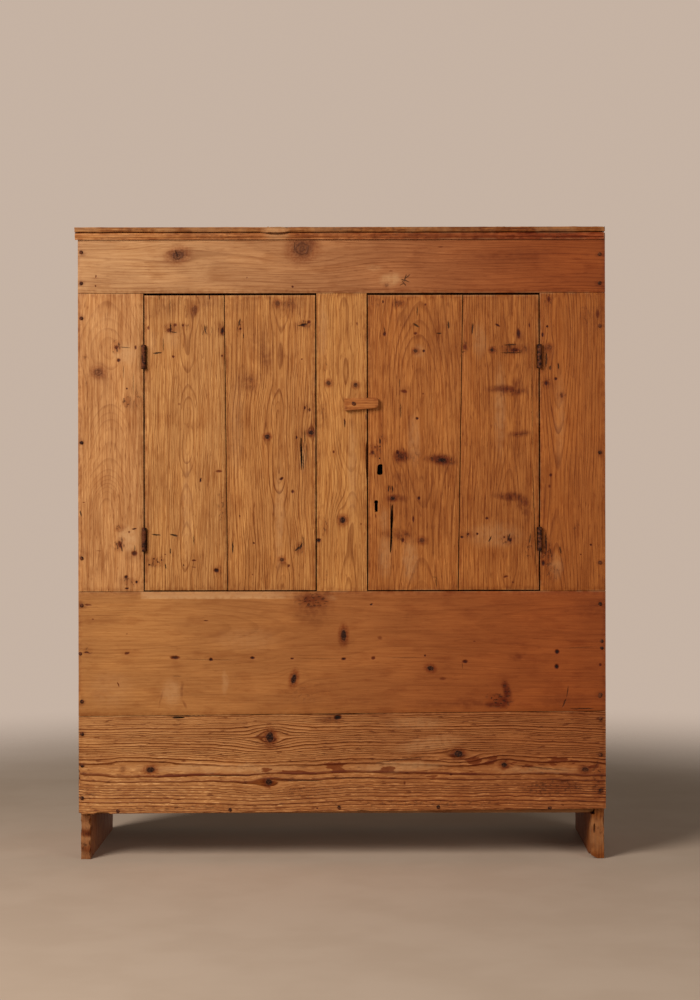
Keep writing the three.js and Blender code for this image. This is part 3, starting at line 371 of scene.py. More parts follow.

# How each board was cut from the tree. Lie is the way the grain runs and the face that shows; tone is
# the wood's colour, darker on the boards further right partly as painted shade of the light falling off
# that way, and the tone at the right end its colour there, redder with age and darker as painted shade;
# heart is where the tree's middle lies across the board, deep how far behind the face it is, and climb
# how much deeper it gets along the board; sways and swells are slow waves of amount, length and start;
# spacing is a ring's width, and squeeze how much closer together the rings above the heart lie; contrast
# and fibre are the strengths of the dark wood and of the fibres; on a loose board small knots are strewn
# about
BOARDS = {
    "top_rail": dict(
        lie="lying", tone=(180, 129, 83), far_tone=(141, 69, 27), heart=1384, deep=34,
        swells=[(9, 190, 0.4), (4, 71, 2.0)], sways=[(6, 230, 1.0), (2.2, 67, 0.3)], spacing=7.6,
        contrast=0.42, fibre=0.3),
    "left_stile": dict(
        lie="upright", tone=(190, 132, 79), heart=-588, deep=-96, climb=0.15,
        swells=[(15, 80, 0.3), (5, 31, 1.0)], sways=[(6, 150, 0.5), (2, 52, 0)], spacing=5.8,
        contrast=0.3, fibre=0.55),
    "left_door_outer_board": dict(
        lie="upright", tone=(185, 127, 71), heart=-387, deep=13,
        swells=[(8, 46, 0.2), (3, 19, 1.2)], sways=[(4, 160, 0.2), (1.5, 43, 1)], spacing=5.4,
        contrast=0.55, fibre=0.6),
    "left_door_inner_board": dict(
        lie="upright", tone=(183, 122, 65), heart=-154, deep=16, climb=-0.006,
        swells=[(9, 66, 1.4), (3, 23, 0.3)], sways=[(6, 120, 2.2), (1.8, 37, 0)], spacing=6.0,
        contrast=0.82, fibre=0.6),
    "centre_stile": dict(
        lie="upright", tone=(189, 127, 67), heart=14, deep=24,
        swells=[(9, 90, 3.4), (3, 29, 0.5)], sways=[(7, 130, 0.9), (2, 47, 0.2)], spacing=5.6,
        contrast=0.6, fibre=0.55),
    "right_door_inner_board": dict(
        lie="upright", tone=(171, 104, 49), heart=196, deep=60, climb=0.02,
        swells=[(12, 110, 0.6)], sways=[(4, 140, 1.9), (1.5, 44, 0)], spacing=6.2,
        contrast=0.5, fibre=0.65),
    "right_door_outer_board": dict(
        lie="upright", tone=(166, 99, 45), heart=420, deep=52, climb=-0.02,
        swells=[(10, 95, 2.6)], sways=[(4, 170, 0.1), (1.5, 39, 0.8)], spacing=5.8,
        contrast=0.5, fibre=0.65),
    "right_stile": dict(
        lie="upright", tone=(164, 94, 40), heart=540, deep=34,
        swells=[(8, 120, 0.1)], sways=[(3, 180, 0.7), (1.2, 51, 0.3)], spacing=5.4,
        contrast=0.7, fibre=0.5),
    "upper_front_board": dict(
        lie="lying", tone=(169, 111, 59), far_tone=(142, 70, 28), heart=585, deep=70, climb=0.02,
        swells=[(16, 190, 1.1)], sways=[(7, 260, 0.2), (2.5, 83, 0)], spacing=9.5,
        contrast=0.22, fibre=0.24),
    "lower_front_board": dict(
        lie="lying", tone=(177, 119, 68), far_tone=(149, 86, 43), heart=234, deep=13.5,
        swells=[(0.8, 97, 0.4), (0.4, 41, 2.2)],
        sways=[(3.0, 190, 0.3), (1.5, 71, 1.4), (0.7, 29, 0.2), (0.3, 9, 0)], spacing=7.4, squeeze=0.42,
        contrast=1.75, fibre=0.36),
    "top_board_front": dict(
        lie="flat", tone=(172, 118, 68), far_tone=(148, 88, 40), heart=110, deep=60, climb=0.01,
        swells=[(14, 150, 0.4)], sways=[(6, 190, 0)], spacing=8, contrast=0.5, fibre=0.7, loose=True),
    "top_board_back": dict(
        lie="flat", tone=(176, 126, 84), far_tone=(150, 96, 56), heart=330, deep=46, climb=-0.01,
        swells=[(12, 130, 1.4)], sways=[(7, 170, 1)], spacing=8, contrast=0.5, fibre=0.7, loose=True),
    "bead_moulding": dict(
        lie="lying", tone=(186, 124, 70), far_tone=(146, 69, 31), heart=1500, deep=30,
        swells=[(4, 150, 0)], sways=[(3, 130, 0)], spacing=6, contrast=0.35, fibre=0.7),
    "side_board_left": dict(
        lie="side", tone=(184, 126, 78), heart=190, deep=46, climb=0.03,
        swells=[(18, 120, 0.4), (5, 41, 0)], sways=[(9, 190, 0)], spacing=8.2, contrast=0.5, fibre=0.55,
        loose=True),
    "side_board_right": dict(
        lie="side", tone=(178, 114, 56), heart=260, deep=38, climb=-0.03,
        swells=[(16, 140, 2.0), (5, 37, 0)], sways=[(8, 210, 1)], spacing=8.2, contrast=0.5, fibre=0.55,
        loose=True),
    "turn_button": dict(
        lie="lying", tone=(172, 104, 51), heart=1132, deep=24,
        swells=[(3, 40, 0)], sways=[(1, 30, 0)], spacing=4.5, contrast=0.35, fibre=0.5),
}
INNER_TONE = (170, 124, 80)
RAW_TONE = (198, 146, 96)
KNOT_TONE = (112, 60, 31)
# Near-black of holes, knot hearts and dark cut marks, and painted shade where cut marks lie over the cracks
# cut out of the boards
HOLE_AND_CRACK_SHADE_TONE = (22, 9, 5)
SCAR_TONE = (62, 30, 15)
RED_TONE = (128, 62, 26)
BAND_TONE = (214, 164, 112)
IRON_TONE = (46, 26, 18)
RUST_TONE = (112, 60, 34)

# What growth, wear and dirt do to the colour under them, as shares of red, green and blue; also the painted
# highlight on the scrubbed board's ridges, and darkening near edges and towards the floor
SHADES = {
    "late_wood": (0.40, 0.24, 0.13), "fibre": (0.62, 0.46, 0.32), "dash": (0.50, 0.35, 0.24),
    "streak": (0.70, 0.56, 0.42), "bright": (1.24, 1.29, 1.30), "scrape": (1.45, 1.6, 1.75),
    # On the next line: dirt, a darkening towards the floor, and a painted highlight where the scrubbed
    # board's ridges catch the light
    "dirt": (0.72, 0.58, 0.46), "soil": (0.62, 0.50, 0.42), "proud": (1.22, 1.3, 1.42),
    "nick": (1.5, 1.75, 2.0), "gouge": (0.45, 0.32, 0.26), "red": (0.60, 0.44, 0.34),
    "stain": (0.40, 0.24, 0.20), "halo": (0.56, 0.34, 0.22), "knot_ring": (0.32, 0.25, 0.22),
    # The last shade on the next line darkens a board towards its edges
    "scar_rim": (0.66, 0.48, 0.36), "spot_rim": (0.40, 0.22, 0.14), "grime": (0.66, 0.52, 0.43),
    "scale": (0.5, 0.45, 0.42), "mottle": (0.95, 0.94, 0.93),
}

# Soft noise along the grain: spots per millimetre across it and along it, detail, where a patch begins
# and is whole, and for one of them its least and its most
PATCHES = {
    "fibre": (0.38, 0.014, 4.0, 0.46, 0.6), "dash": (0.3, 0.04, 3.0, 0.57, 0.68),
    "streak": (0.17, 0.005, 3.0, 0.44, 0.6), "bright": (0.017, 0.005, 3.0, 0.42, 0.66),
    "scrape": (0.4, 0.022, 2.0, 0.6, 0.7), "dirt": (0.034, 0.014, 4.0, 0.5, 0.7),
    "nick": (0.34, 0.05, 3.0, 0.56, 0.64), "gouge": (0.2, 0.035, 4.0, 0.6, 0.67),
    "fleck": (0.17, 0.09, 4.0, 0.55, 0.61), "ring_strength": (0.016, 0.004, 2.0, 0.36, 0.62, 0.6, 1.15),
}

# Each kind of mark: how its outline strays, and in shares of its own size how far it is whole and where
# it is gone
REACHES = {
    "pale": ("widely", 0.35, 1.2), "red": ("widely", 0.3, 1.35), "stains": ("widely", 0.1, 1.35),
    "scars": ("widely", 0.5, 1.25), "knots": ("closely", 0.55, 1.08), "halos": ("closely", 0.95, 2.0),
    "spots": ("closely", 0.3, 1.25), "cuts": ("closely", 0.55, 1.15),
}

# How much things stand out of the wood or are sunk into it, in shares of its relief
RELIEF = 0.8 * MM
DEPTHS = {"late_wood": 0.55, "fibre": -0.3, "knots": 0.6, "scars": -1.4, "spots": -1.2, "cuts": -2.0}

# Where along the boards things come and go: the colour of the right end, redder with age and darker as
# painted shade;
# the darkening towards the floor on the side boards; the nicks of the scrubbed board, and the lower edge,
# left end and right end of the pale band under the left door
FAR_TONE_AND_SHADE_SPAN = (-640, 640)
LOW_DARKENING_SPAN = (190, 90)
NICK_SPAN = (300, 190, 0.2, 1.0)
BAND_EDGE = (654, 657)
BAND_LEFT = (-506, -499)
BAND_RIGHT = (-90, -190)

# Slants of the door boards' seams and of the bin's lower board, and a height that the seam between the
# bin's boards lies below
LEFT_SEAM_LEAN = 7.3
RIGHT_SEAM_LEAN = 12.9
LOWER_BOARD_TILT = 12.0
SEAM_TOP = 374.5

# How far across, back and up the right foot's inner front corner is worn, and how far up the case
# floor's lower front edge is
FOOT_WORN = Vector((6, 75, 8)) * MM
CASE_FLOOR_EDGE = 12 * MM

# Sizes of the hollows along the boards' edges and in their faces, and the least angle of a sharp edge
EDGE_HOLLOWS = (14, 55)
FACE_HOLLOWS = 75
SHARP = math.radians(34)

# The board whose soft wood is scrubbed away between the rings
SCRUBBED = "lower_front_board"

# The latch hole and the keyhole's slot as two corners each, the middle of the keyhole's round eye, and
# the radius of the eye and of the latch hole's corners
LATCH_HOLE = ((88.5, -5, 965.5), (101.5, 30, 992.5))
KEYHOLE_SLOT = ((82.2, -5, 873), (89.2, 30, 897))
KEYHOLE_EYE = (86, 10, 897)
HOLE_RADIUS = 4.6

# How far the ends of boards are brought out to touch their neighbours, on the doors and in the back too,
# and the room round what is let in
JOINT = 0.35
DOOR_JOINT = 2.0
BACK_JOINT = 2.4
ROOM = 0.3

# The stain that a rusty nail leaves: half width, half height, strength
RUST_STAIN = (12, 9, 0.6)

# One shader holds no more marks than this
MOST_MARKS = 46

# The middle of the top's splintered place, and how far down its edge sags at each distance from there
SPLINTER = (-162, -4, 1580)
SAGS = ((33, 2), (24, 2), (16, 2), (8, 1.5))

# Where the floor begins to fade out and is gone
FLOOR_FADE = (1500, 3400)

# The lamps: name, place and width in metres, and the setting that holds the power
LAMPS = (
    ("key", (-2.6, -3.2, 2.9), 2.2, "key_power"),
    ("fill", (2.6, -3.4, 1.6), 2.4, "fill_power"),
    ("behind", (0.6, 3.8, 1.25), 1.8, "back_power"),
)
LAMP_AIM = (0, 0, 0.85)

# The colour of the even light from all round
SKY_LIGHT = (1.0, 0.985, 0.96, 1.0)

# The photograph's view: far off, nearly level, a little right of the middle
CAMERA_PLACE = (105, -5000, 986)
CAMERA_ROLL = 0.0018
CAMERA = {"sensor_width": 36, "lens": 71.95, "shift_x": -0.0337, "shift_y": -0.0335, "clip_end": 100}


class CupboardWear(bpy.types.PropertyGroup):
    """How worn the boards are."""

    edge_radius: bpy.props.FloatProperty(
        name="Edge radius", description="How far the boards' edges are rounded over",
        default=1.5 * MM, min=0.2 * MM, max=4 * MM, unit="LENGTH", precision=4)
    edge_wander: bpy.props.FloatProperty(
        name="Edge wander", description="How far the edges stray inwards from straight",
        default=1.1 * MM, min=0, max=4 * MM, unit="LENGTH", precision=4)
    face_wander: bpy.props.FloatProperty(
        name="Face wander", description="How deep the hollows in the planed faces are",
        default=0.5 * MM, min=0, max=2 * MM, unit="LENGTH", precision=4)
    ridge_depth: bpy.props.FloatProperty(
        name="Ridge depth", description="How far the lower board's soft wood is worn below the rings",
        default=0.9 * MM, min=0, max=2 * MM, unit="LENGTH", precision=4)


class CupboardColours(bpy.types.PropertyGroup):
    """Colours of the finishes that several pieces share."""

    inner_pine: bpy.props.FloatVectorProperty(
        name="Inner pine", description="Unfinished boards inside and behind", subtype="COLOR", size=3,
        default=[value / 255 for value in INNER_TONE], min=0, max=1)
    raw_pine: bpy.props.FloatVectorProperty(
        name="Raw pine", description="Freshly bared or scrubbed wood", subtype="COLOR", size=3,
        default=[value / 255 for value in RAW_TONE], min=0, max=1)
    iron: bpy.props.FloatVectorProperty(
        name="Iron", description="Old iron of the hinges and nails", subtype="COLOR", size=3,
        default=[value / 255 for value in IRON_TONE], min=0, max=1)
    rust: bpy.props.FloatVectorProperty(
        name="Rust", description="Rust on the iron", subtype="COLOR", size=3,
        default=[value / 255 for value in RUST_TONE], min=0, max=1)


class CupboardStage(bpy.types.PropertyGroup):
    """Floor, background and lamps."""

    floor: bpy.props.FloatVectorProperty(
        name="Floor", description="Colour of the plain floor", subtype="COLOR", size=3,
        default=(0.76, 0.665, 0.575), min=0, max=1)
    backdrop: bpy.props.FloatVectorProperty(
        name="Backdrop", description="Colour seen behind the cupboard", subtype="COLOR", size=3,
        default=(0.775, 0.70, 0.64), min=0, max=1)
    key_power: bpy.props.FloatProperty(
        name="Key lamp", description="Power of the large lamp at the left", default=190, min=0,
        unit="POWER")
    fill_power: bpy.props.FloatProperty(
        name="Fill lamp", description="Power of the lamp at the right", default=44, min=0, unit="POWER")
    back_power: bpy.props.FloatProperty(
        name="Back lamp", description="Power of the lamp behind", default=20, min=0, unit="POWER")
    sky_strength: bpy.props.FloatProperty(
        name="Sky", description="Even light from all round", default=0.075, min=0)


def place(x, y, z):
    """A point of the case's own measure, in the frame's metres."""
    return Vector((CASE_MIDDLE + x * MM, FRONT_FACE + y * MM, z * MM))


def measured(point):
    """A point of the frame in the case's own measure."""
    return (point - Vector((CASE_MIDDLE, FRONT_FACE, 0))) / MM


def linear(tone):
    """A colour as it is seen, 0 to 255, as the light that a shader takes."""
    shares = [value / 255 for value in tone]
    return tuple(s / 12.92 if s < 0.04045 else ((s + 0.055) / 1.055) ** 2.4 for s in shares) + (1.0,)


def shown(colour):
    """A colour property as the light that a shader takes."""
    return linear([value * 255 for value in colour])


class Wire:
    """A socket of a node tree that shader maths can be written on."""

    def __init__(self, tree, socket):
        self.tree = tree
        self.socket = socket

    def node(self, kind, settings=None, inputs=None, output=0):
        """Adds a node to the same tree: its settings first, then the values or links of its sockets."""
        return add_node(self.tree, kind, settings, inputs, output)

    def maths(self, operation, *values):
        return self.node("ShaderNodeMath", {"operation": operation}, dict(enumerate(values)))

    def vector(self, operation, *values, output=0):
        return self.node("ShaderNodeVectorMath", {"operation": operation}, dict(enumerate(values)), output)

    def __add__(self, other):
        return self.maths("ADD", self, other)

    __radd__ = __add__

    def __sub__(self, other):
        return self.maths("SUBTRACT", self, other)

    def __rsub__(self, other):
        return self.maths("SUBTRACT", other, self)

    def __mul__(self, other):
        return self.maths("MULTIPLY", self, other)

    __rmul__ = __mul__

    def __truediv__(self, other):
        return self.maths("DIVIDE", self, other)


def add_node(tree, kind, settings=None, inputs=None, output=0):
    """Adds a node: its settings first, then the values or links of its sockets."""
    node = tree.nodes.new(kind)
    for name, value in (settings or {}).items():
        setattr(node, name, value)
    for key, value in (inputs or {}).items():
        if isinstance(value, Wire):
            tree.links.new(value.socket, node.inputs[key])
        else:
            node.inputs[key].default_value = value
    return Wire(tree, node.outputs[output])


def wave(value):
    return value.maths("SINE", value) if isinstance(value, Wire) else np.sin(value)


def root(value):
    return value.maths("SQRT", value) if isinstance(value, Wire) else np.sqrt(value)


def fraction(value):
    return value.maths("FRACT", value) if isinstance(value, Wire) else np.mod(value, 1)


def larger(one, other):
    """The larger of two masks; the first may be a plain number."""
    return other.maths("MAXIMUM", one, other)


def least(wires):
    """The smallest of several values."""
    return reduce(lambda one, other: one.maths("MINIMUM", one, other), wires)


def smooth(value, low, high, start=0.0, end=1.0):
    """An even rise from start to end as a value goes from low to high."""
    if isinstance(value, Wire):
        return value.node("ShaderNodeMapRange", {"interpolation_type": "SMOOTHSTEP", "clamp": False}, {
            "Value": value, "From Min": low, "From Max": high, "To Min": start, "To Max": end})
    share = np.clip((value - low) / (high - low), 0, 1)
    return start + (end - start) * share * share * (3 - 2 * share)


def mixed(colour, other, mask, blend="MIX"):
    """One colour laid over another where the mask says; a MULTIPLY blend tints it instead."""
    return mask.node("ShaderNodeMix", {"data_type": "RGBA", "blend_type": blend, "clamp_factor": True},
                     {0: mask, 6: colour, 7: other}, 2)


def tinted(colour, shade, mask):
    """A colour taken to one of the shades where the mask says."""
    return mixed(colour, SHADES[shade] + (1,), mask, "MULTIPLY")


def cloud(vector, scale, detail=2.0, output=0):
    """Soft noise; scale is in spots per millimetre, in all directions or in each."""
    if isinstance(scale, tuple):
        vector, scale = vector.vector("MULTIPLY", vector, scale), 1.0
    inputs = {"Vector": vector, "Scale": scale, "Detail": detail}
    return vector.node("ShaderNodeTexNoise", {}, inputs, output)


# For each way the grain lies: the directions across it, along it and into the board, then the two
# directions of the face that shows and the one that goes into it
LIES = {
    "upright": (X, Z, Y, X, Z, Y),
    "lying": (Z, X, Y, X, Z, Y),
    "side": (Y, Z, X, Y, Z, X),
    "flat": (Y, X, Z, X, Y, Z),
}


def nearness(vector, face, mark):
    """How far a place is from a mark: 0 at its middle, 1 on its rim."""
    middle, size, spin = [0.0] * 3, [FAR] * 3, [0.0] * 3
    middle[face[0]], middle[face[1]], size[face[0]], size[face[1]] = mark[:4]
    spin[face[2]] = math.radians(sum(mark[5:]))
    near = vector.node("ShaderNodeMapping", {"vector_type": "TEXTURE"}, {
        "Vector": vector, "Location": middle, "Rotation": spin, "Scale": size})
    return near.vector("LENGTH", near, output=1)


def marked(vector, face, marks, inner, outer):
    """A mask of a list of marks: each at its strength as far as inner, and gone at outer."""
    mask = 0.0
    for mark in marks:
        mask = larger(mask, smooth(nearness(vector, face, mark), outer, inner, 0.0, mark[4]))
    return mask


def around_knots(across, along, knots, face_is_lying):
    """How far the knots push the grain aside at a place."""
    push = 0.0
    for h, v, half_h, half_v, *_rest in knots:
        middle, start, wide, long = (v, h, half_v, half_h) if face_is_lying else (h, v, half_h, half_v)
        side = (across - middle) / (wide * 1.25)
        ahead = (along - start) / (long * 3.2)
        push = push + side * (wide * 1.5) / (side * side + ahead * ahead + 0.8)
    return push


def ring_phase(across, along, into, board, knots):
    """The number of growth rings between the heart of the tree and a place in a board."""
    across = across - around_knots(across, along, knots, board["lie"] == "lying")
    sway = sum(amount * wave(along / length + start) for amount, length, start in board["sways"])
    swell = sum(amount * wave(along / length + start) for amount, length, start in board["swells"])
    side = across - board["heart"] - sway
    below = along * board.get("climb", 0.0) + swell + into + board["deep"]
    if "squeeze" in board:
        side = side + (side + root(side * side + 4)) * (board["squeeze"] / 2)
    count = root(side * side + below * below) / board["spacing"]
    return count + wave(count * 0.9) * 0.4


def late_wood(phase):
    """The dark, hard part of each growth ring: rises slowly, ends at once."""
    share = fraction(phase)
    return smooth(share, 0.56, 0.88) - smooth(share, 0.93, 1.0)


def new_material(name, tone):
    """A material with an empty tree, and the places on its object in the case's own measure."""
    material = bpy.data.materials.new(name)
    material.use_nodes = True
    material.diffuse_color = linear(tone)
    tree = material.node_tree
    tree.nodes.clear()
    metres = add_node(tree, "ShaderNodeTexCoord", output="Object")
    offset = (-CASE_MIDDLE / MM, -FRONT_FACE / MM, 0)
    return material, metres.vector("MULTIPLY_ADD", metres, (1 / MM,) * 3, offset)


def finish_material(spot, colour, roughness, height, depth, sheen, alpha=1.0):
    """Joins a colour, a roughness and a height in shares of a depth to the shader and the output."""
    normal = spot.node("ShaderNodeBump", {}, {"Strength": 1.0, "Distance": depth, "Height": height})
    shader = spot.node("ShaderNodeBsdfPrincipled", {}, {
        "Base Color": colour, "Roughness": roughness, "Metallic": 0.0, "Normal": normal,
        "Alpha": alpha, "Specular IOR Level": sheen})
    output = spot.tree.nodes.new("ShaderNodeOutputMaterial")
    spot.tree.links.new(shader.socket, output.inputs["Surface"])


def parts_of(vector):
    """The three numbers of a vector."""
    first = vector.node("ShaderNodeSeparateXYZ", {}, {"Vector": vector})
    return [Wire(vector.tree, socket) for socket in first.socket.node.outputs]


def strayed(spot, scale, amount):
    """Places moved about a little, so that a mark's outline isn't even."""
    noise = cloud(spot, scale, 2.0, "Color")
    shift = noise.vector("MULTIPLY_ADD", noise, (amount,) * 3, (-amount / 2,) * 3)
    return spot.vector("ADD", spot, shift)


def loose_knots(across, along, seed):
    """Small knots strewn over a board: how near the next one is, and how far it pushes the grain."""
    wide, long = 190.0, 330.0
    cell = across.node("ShaderNodeCombineXYZ", {}, {0: across / wide + seed, 1: along / long + seed})
    near = cell.node("ShaderNodeTexVoronoi", {"voronoi_dimensions": "2D"}, {"Vector": cell, "Scale": 1.0})
    colour = Wire(near.tree, near.socket.node.outputs["Color"])
    middle = Wire(near.tree, near.socket.node.outputs["Position"])
    side, ahead, _ = parts_of(cell.vector("SUBTRACT", cell, middle))
    chance = parts_of(colour)[0]
    size = chance * chance * 9 + 2.5
    side = side * wide / size
    ahead = ahead * long / size
    square = side * side
    push = side * size * 1.3 / (square + ahead * ahead * 0.1 + 0.8)
    return root(square + ahead * ahead * 0.7), push


class Pine:
    """The wood of a board: where each place lies in the tree, and what lies over it."""

    def __init__(self, name, board, marks, title):
        self.name = name
        self.board = board
        self.marks = marks
        self.face = LIES[board["lie"]][3:]
        self.material, self.spot = new_material(title + "_pine", board["tone"])
        self.places = parts_of(self.spot)
        self.outlines = {"widely": strayed(self.spot, 0.03, 16), "closely": strayed(self.spot, 0.16, 3.2)}
        self.breakup = cloud(self.spot, 0.075, 4.0)
        seen_from_front = board["lie"] in ("upright", "lying") and name in MARKS
        self.outside = smooth(self.places[Y], 4, 10, 1.0, 0.0) if seen_from_front else 1.0
        self.loose = None
        self.grow()
        self.fine = self.patches("fibre") * board["fibre"]
        self.dirt = self.patches("dirt")

    def noise(self, across, along, detail):
        """Soft noise, in spots per millimetre across the grain and along it."""
        scale = [across] * 3
        scale[LIES[self.board["lie"]][1]] = along
        return cloud(self.spot, tuple(scale), detail)

    def patches(self, name):
        """Where one of the patches lies."""
        across, along, detail, *rise = PATCHES[name]
        return smooth(self.noise(across, along, detail), *rise)

    def ragged(self, axis, amount):
        """A place's own number along an axis, moved about so that a line there isn't straight."""
        return self.places[axis] + (cloud(self.spot, 0.045, 4.0) - 0.5) * amount

    def mask(self, kind):
        """Where the marks of a kind lie; plain 0 on a board that has none. Halos lie round knots."""
        outline, inner, outer = REACHES[kind]
        marks = self.marks.get("knots" if kind == "halos" else kind, [])
        return marked(self.outlines[outline], self.face, marks, inner, outer)

    def grow(self):
        """The growth rings, bent round the knots: their dark wood, and a painted highlight just past it,
        where a ridge would catch the light.
        """
        across, along, into = (self.places[axis] for axis in LIES[self.board["lie"]][:3])
        if self.name == SCRUBBED:
            across = across + (self.noise(0.04, 0.035, 3.0) - 0.5) * 3.4
        else:
            across = across + (self.noise(0.07, 0.006, 3.0) - 0.5) * 7
        if self.board.get("loose"):
            self.loose, push = loose_knots(across, along, self.board["heart"] * 0.37)
            across = across - push
        knots = MARKS.get(self.name, {}).get("knots", [])
        phase = ring_phase(across, along, into, self.board, knots)
        share = fraction(phase)
        ring = phase - share
        own = ring.node("ShaderNodeTexWhiteNoise", {"noise_dimensions": "1D"}, {"W": ring})
        strength = self.patches("ring_strength")
        self.late = late_wood(phase) * smooth(own, 0, 1, 0.4, 1.0) * strength * self.board["contrast"]
        # Painted highlight: a pale stripe just past each ring's dark wood, standing in for light on a ridge
        self.proud = (smooth(share, 0.0, 0.08) - smooth(share, 0.16, 0.42)) * strength

    def bare(self):
        """The wood's colour: its tone, darker at the right end partly as painted shade, its rings, what
        lies all along the grain, and a painted highlight on the scrubbed board's ridges.
        """
        colour = linear(self.board["tone"])
        # Towards the right end the colour turns redder with age, and darker as painted shade of the light
        # falling off to the right
        if "far_tone" in self.board:
            ends = smooth(self.places[X], *FAR_TONE_AND_SHADE_SPAN)
            colour = mixed(colour, linear(self.board["far_tone"]), ends)
        if isinstance(self.outside, Wire):
            colour = mixed(own_colour("inner_pine"), colour, self.outside)
        fibre = self.board["fibre"]
        layers = {
            "late_wood": self.late, "fibre": self.fine, "dash": self.patches("dash") * fibre,
            "streak": self.patches("streak") * fibre, "bright": self.patches("bright") * 0.7,
            "scrape": self.patches("scrape") * fibre, "dirt": self.dirt * 0.5}
        if self.board["lie"] == "side":
            # Darker towards the floor on the side boards
            layers["soil"] = smooth(self.ragged(Z, 60), *LOW_DARKENING_SPAN)
        if self.name == SCRUBBED:
            # Painted highlight along the ridges of the scrubbed board
            layers["proud"] = self.proud * 0.8
            layers["nick"] = self.patches("nick") * smooth(self.ragged(Z, 160), *NICK_SPAN) * 0.85
            layers["gouge"] = self.patches("gouge") * 0.8
        for shade, mask in layers.items():
            colour = tinted(colour, shade, mask)
        return colour

    def fade(self, colour):
        """Pale places, and the pale band under the left door."""
        pale = self.mask("pale")
        if pale:
            pale = pale * smooth(self.breakup, 0.3, 0.6, 0.45, 1.0) * self.outside
            colour = mixed(colour, own_colour("raw_pine"), pale * 0.8)
        if self.name == "upper_front_board":
            band = smooth(self.ragged(Z, 3), *BAND_EDGE) * smooth(self.places[X], *BAND_LEFT)
            band = band * smooth(self.ragged(X, 90), *BAND_RIGHT) * self.outside
            colour = mixed(colour, linear(BAND_TONE), band * smooth(self.breakup, 0.3, 0.6, 0.22, 0.45))
        return colour

    def redden(self, colour):
        """Red old finish left between the rings."""
        red = self.mask("red")
        if not red:
            return colour
        torn = (self.noise(0.13, 0.035, 4.0) - 0.5) * 1.5 + (self.late - 0.35) * 0.4
        red = smooth(red + torn, 0.36, 0.5) * smooth(red, 0.02, 0.25) * self.outside
        return tinted(mixed(colour, linear(RED_TONE), red * 0.45), "red", red)

    def stain(self, colour):
        """Dark stains."""
        stain = self.mask("stains")
        if not stain:
            return colour
        return tinted(colour, "stain", stain * smooth(self.breakup, 0.3, 0.62, 0.4, 1.0) * self.outside)

    def knot(self, colour, height):
        """Knots, each with rings of its own, a dark heart and a stained halo."""
        spot = self.outlines["closely"]
        reaches = [nearness(spot, self.face, knot) for knot in self.marks.get("knots", [])]
        core = self.mask("knots")
        halo = self.mask("halos")
        if self.loose:
            reaches.append(self.loose)
            core = larger(core, smooth(self.loose, 1.15, 0.7, 0.0, 0.85))
            halo = larger(halo, smooth(self.loose, 2.1, 1.0, 0.0, 0.8))
        if not reaches:
            return colour, height
        near = least(reaches)
        rough = smooth(cloud(self.spot, 0.19, 4.0), 0.36, 0.62)
        turns = smooth(wave(near * 16 + self.breakup * 11), -0.3, 0.8)
        colour = tinted(colour, "halo", halo * (rough * 0.45 + 0.5))
        flesh = tinted(linear(KNOT_TONE), "knot_ring", larger(turns, rough) * 0.8)
        colour = mixed(colour, flesh, core * (turns * 0.2 + 0.78))
        heartwood = smooth(core, 0.72, 0.95) * smooth(near, 1.05, 0.4)
        colour = mixed(colour, linear(HOLE_AND_CRACK_SHADE_TONE), heartwood * (rough * 0.35 + 0.6))
        return colour, height + core * turns * DEPTHS["knots"]

    def scar(self, colour, height):
        """Broken-up scars, darker at their rims."""
        scars = self.mask("scars")
        if not scars:
            return colour, height
        scars = scars * self.outside
        flecks = scars * self.patches("fleck")
        colour = tinted(colour, "scar_rim", scars * 0.8)
        return mixed(colour, linear(SCAR_TONE), flecks * 0.9), height + flecks * DEPTHS["scars"]

    def pit(self, colour, height):
        """Small dark holes."""
        spots = self.mask("spots")
        if not spots:
            return colour, height
        spots = spots * self.outside
        colour = tinted(colour, "spot_rim", smooth(spots, 0.0, 0.5))
        colour = mixed(colour, linear(HOLE_AND_CRACK_SHADE_TONE), smooth(spots, 0.4, 0.9))
        return colour, height + spots * DEPTHS["spots"]

    def cut(self, colour, height):
        """Narrow dark cut marks; those over the cracks cut out of the boards are painted shade."""
        cuts = self.mask("cuts")
        if not cuts:
            return colour, height
        cuts = cuts * self.outside
        return mixed(colour, linear(HOLE_AND_CRACK_SHADE_TONE), cuts), height + cuts * DEPTHS["cuts"]

    def rub(self, colour):
        """Darker towards a board's edges, and the edges themselves rubbed pale."""
        low, high = (measured(end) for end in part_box(self.name))
        rim = least([gap for axis in self.face[:2]
                     for gap in (self.places[axis] - low[axis], high[axis] - self.places[axis])])
        # Darker towards the board's edges
        grime = smooth(rim, 0, 16, 1.0, 0.0) * smooth(self.breakup, 0.34, 0.66)
        colour = tinted(colour, "grime", grime * 0.75)
        rubbed = smooth(rim, 0.6, 4.2, 1.0, 0.0) * smooth(cloud(self.spot, 0.02), 0.42, 0.6)
        return mixed(colour, own_colour("raw_pine"), rubbed * 0.2)


def own_colour(name):
    """One of the panel's colours as a shader takes it."""
    return shown(getattr(bpy.context.scene.cupboard_colours, name))


def pine_finish(name, board, marks, title=None):
    """Old pine: growth rings bent round its knots, fibres, stains, marks, and rims darkened and rubbed
    pale.
    """
    pine = Pine(name, board, marks, title or name)
    colour = pine.stain(pine.redden(pine.fade(pine.bare())))
    height = pine.late * DEPTHS["late_wood"] + pine.fine * DEPTHS["fibre"]
    for lay in (pine.knot, pine.scar, pine.pit, pine.cut):
        colour, height = lay(colour, height)
    roughness = pine.fine * 0.14 + pine.dirt * 0.1 + 0.52 + pine.late * -0.08
    finish_material(pine.spot, pine.rub(colour), roughness, height, RELIEF, sheen=0.12)
    return pine.material


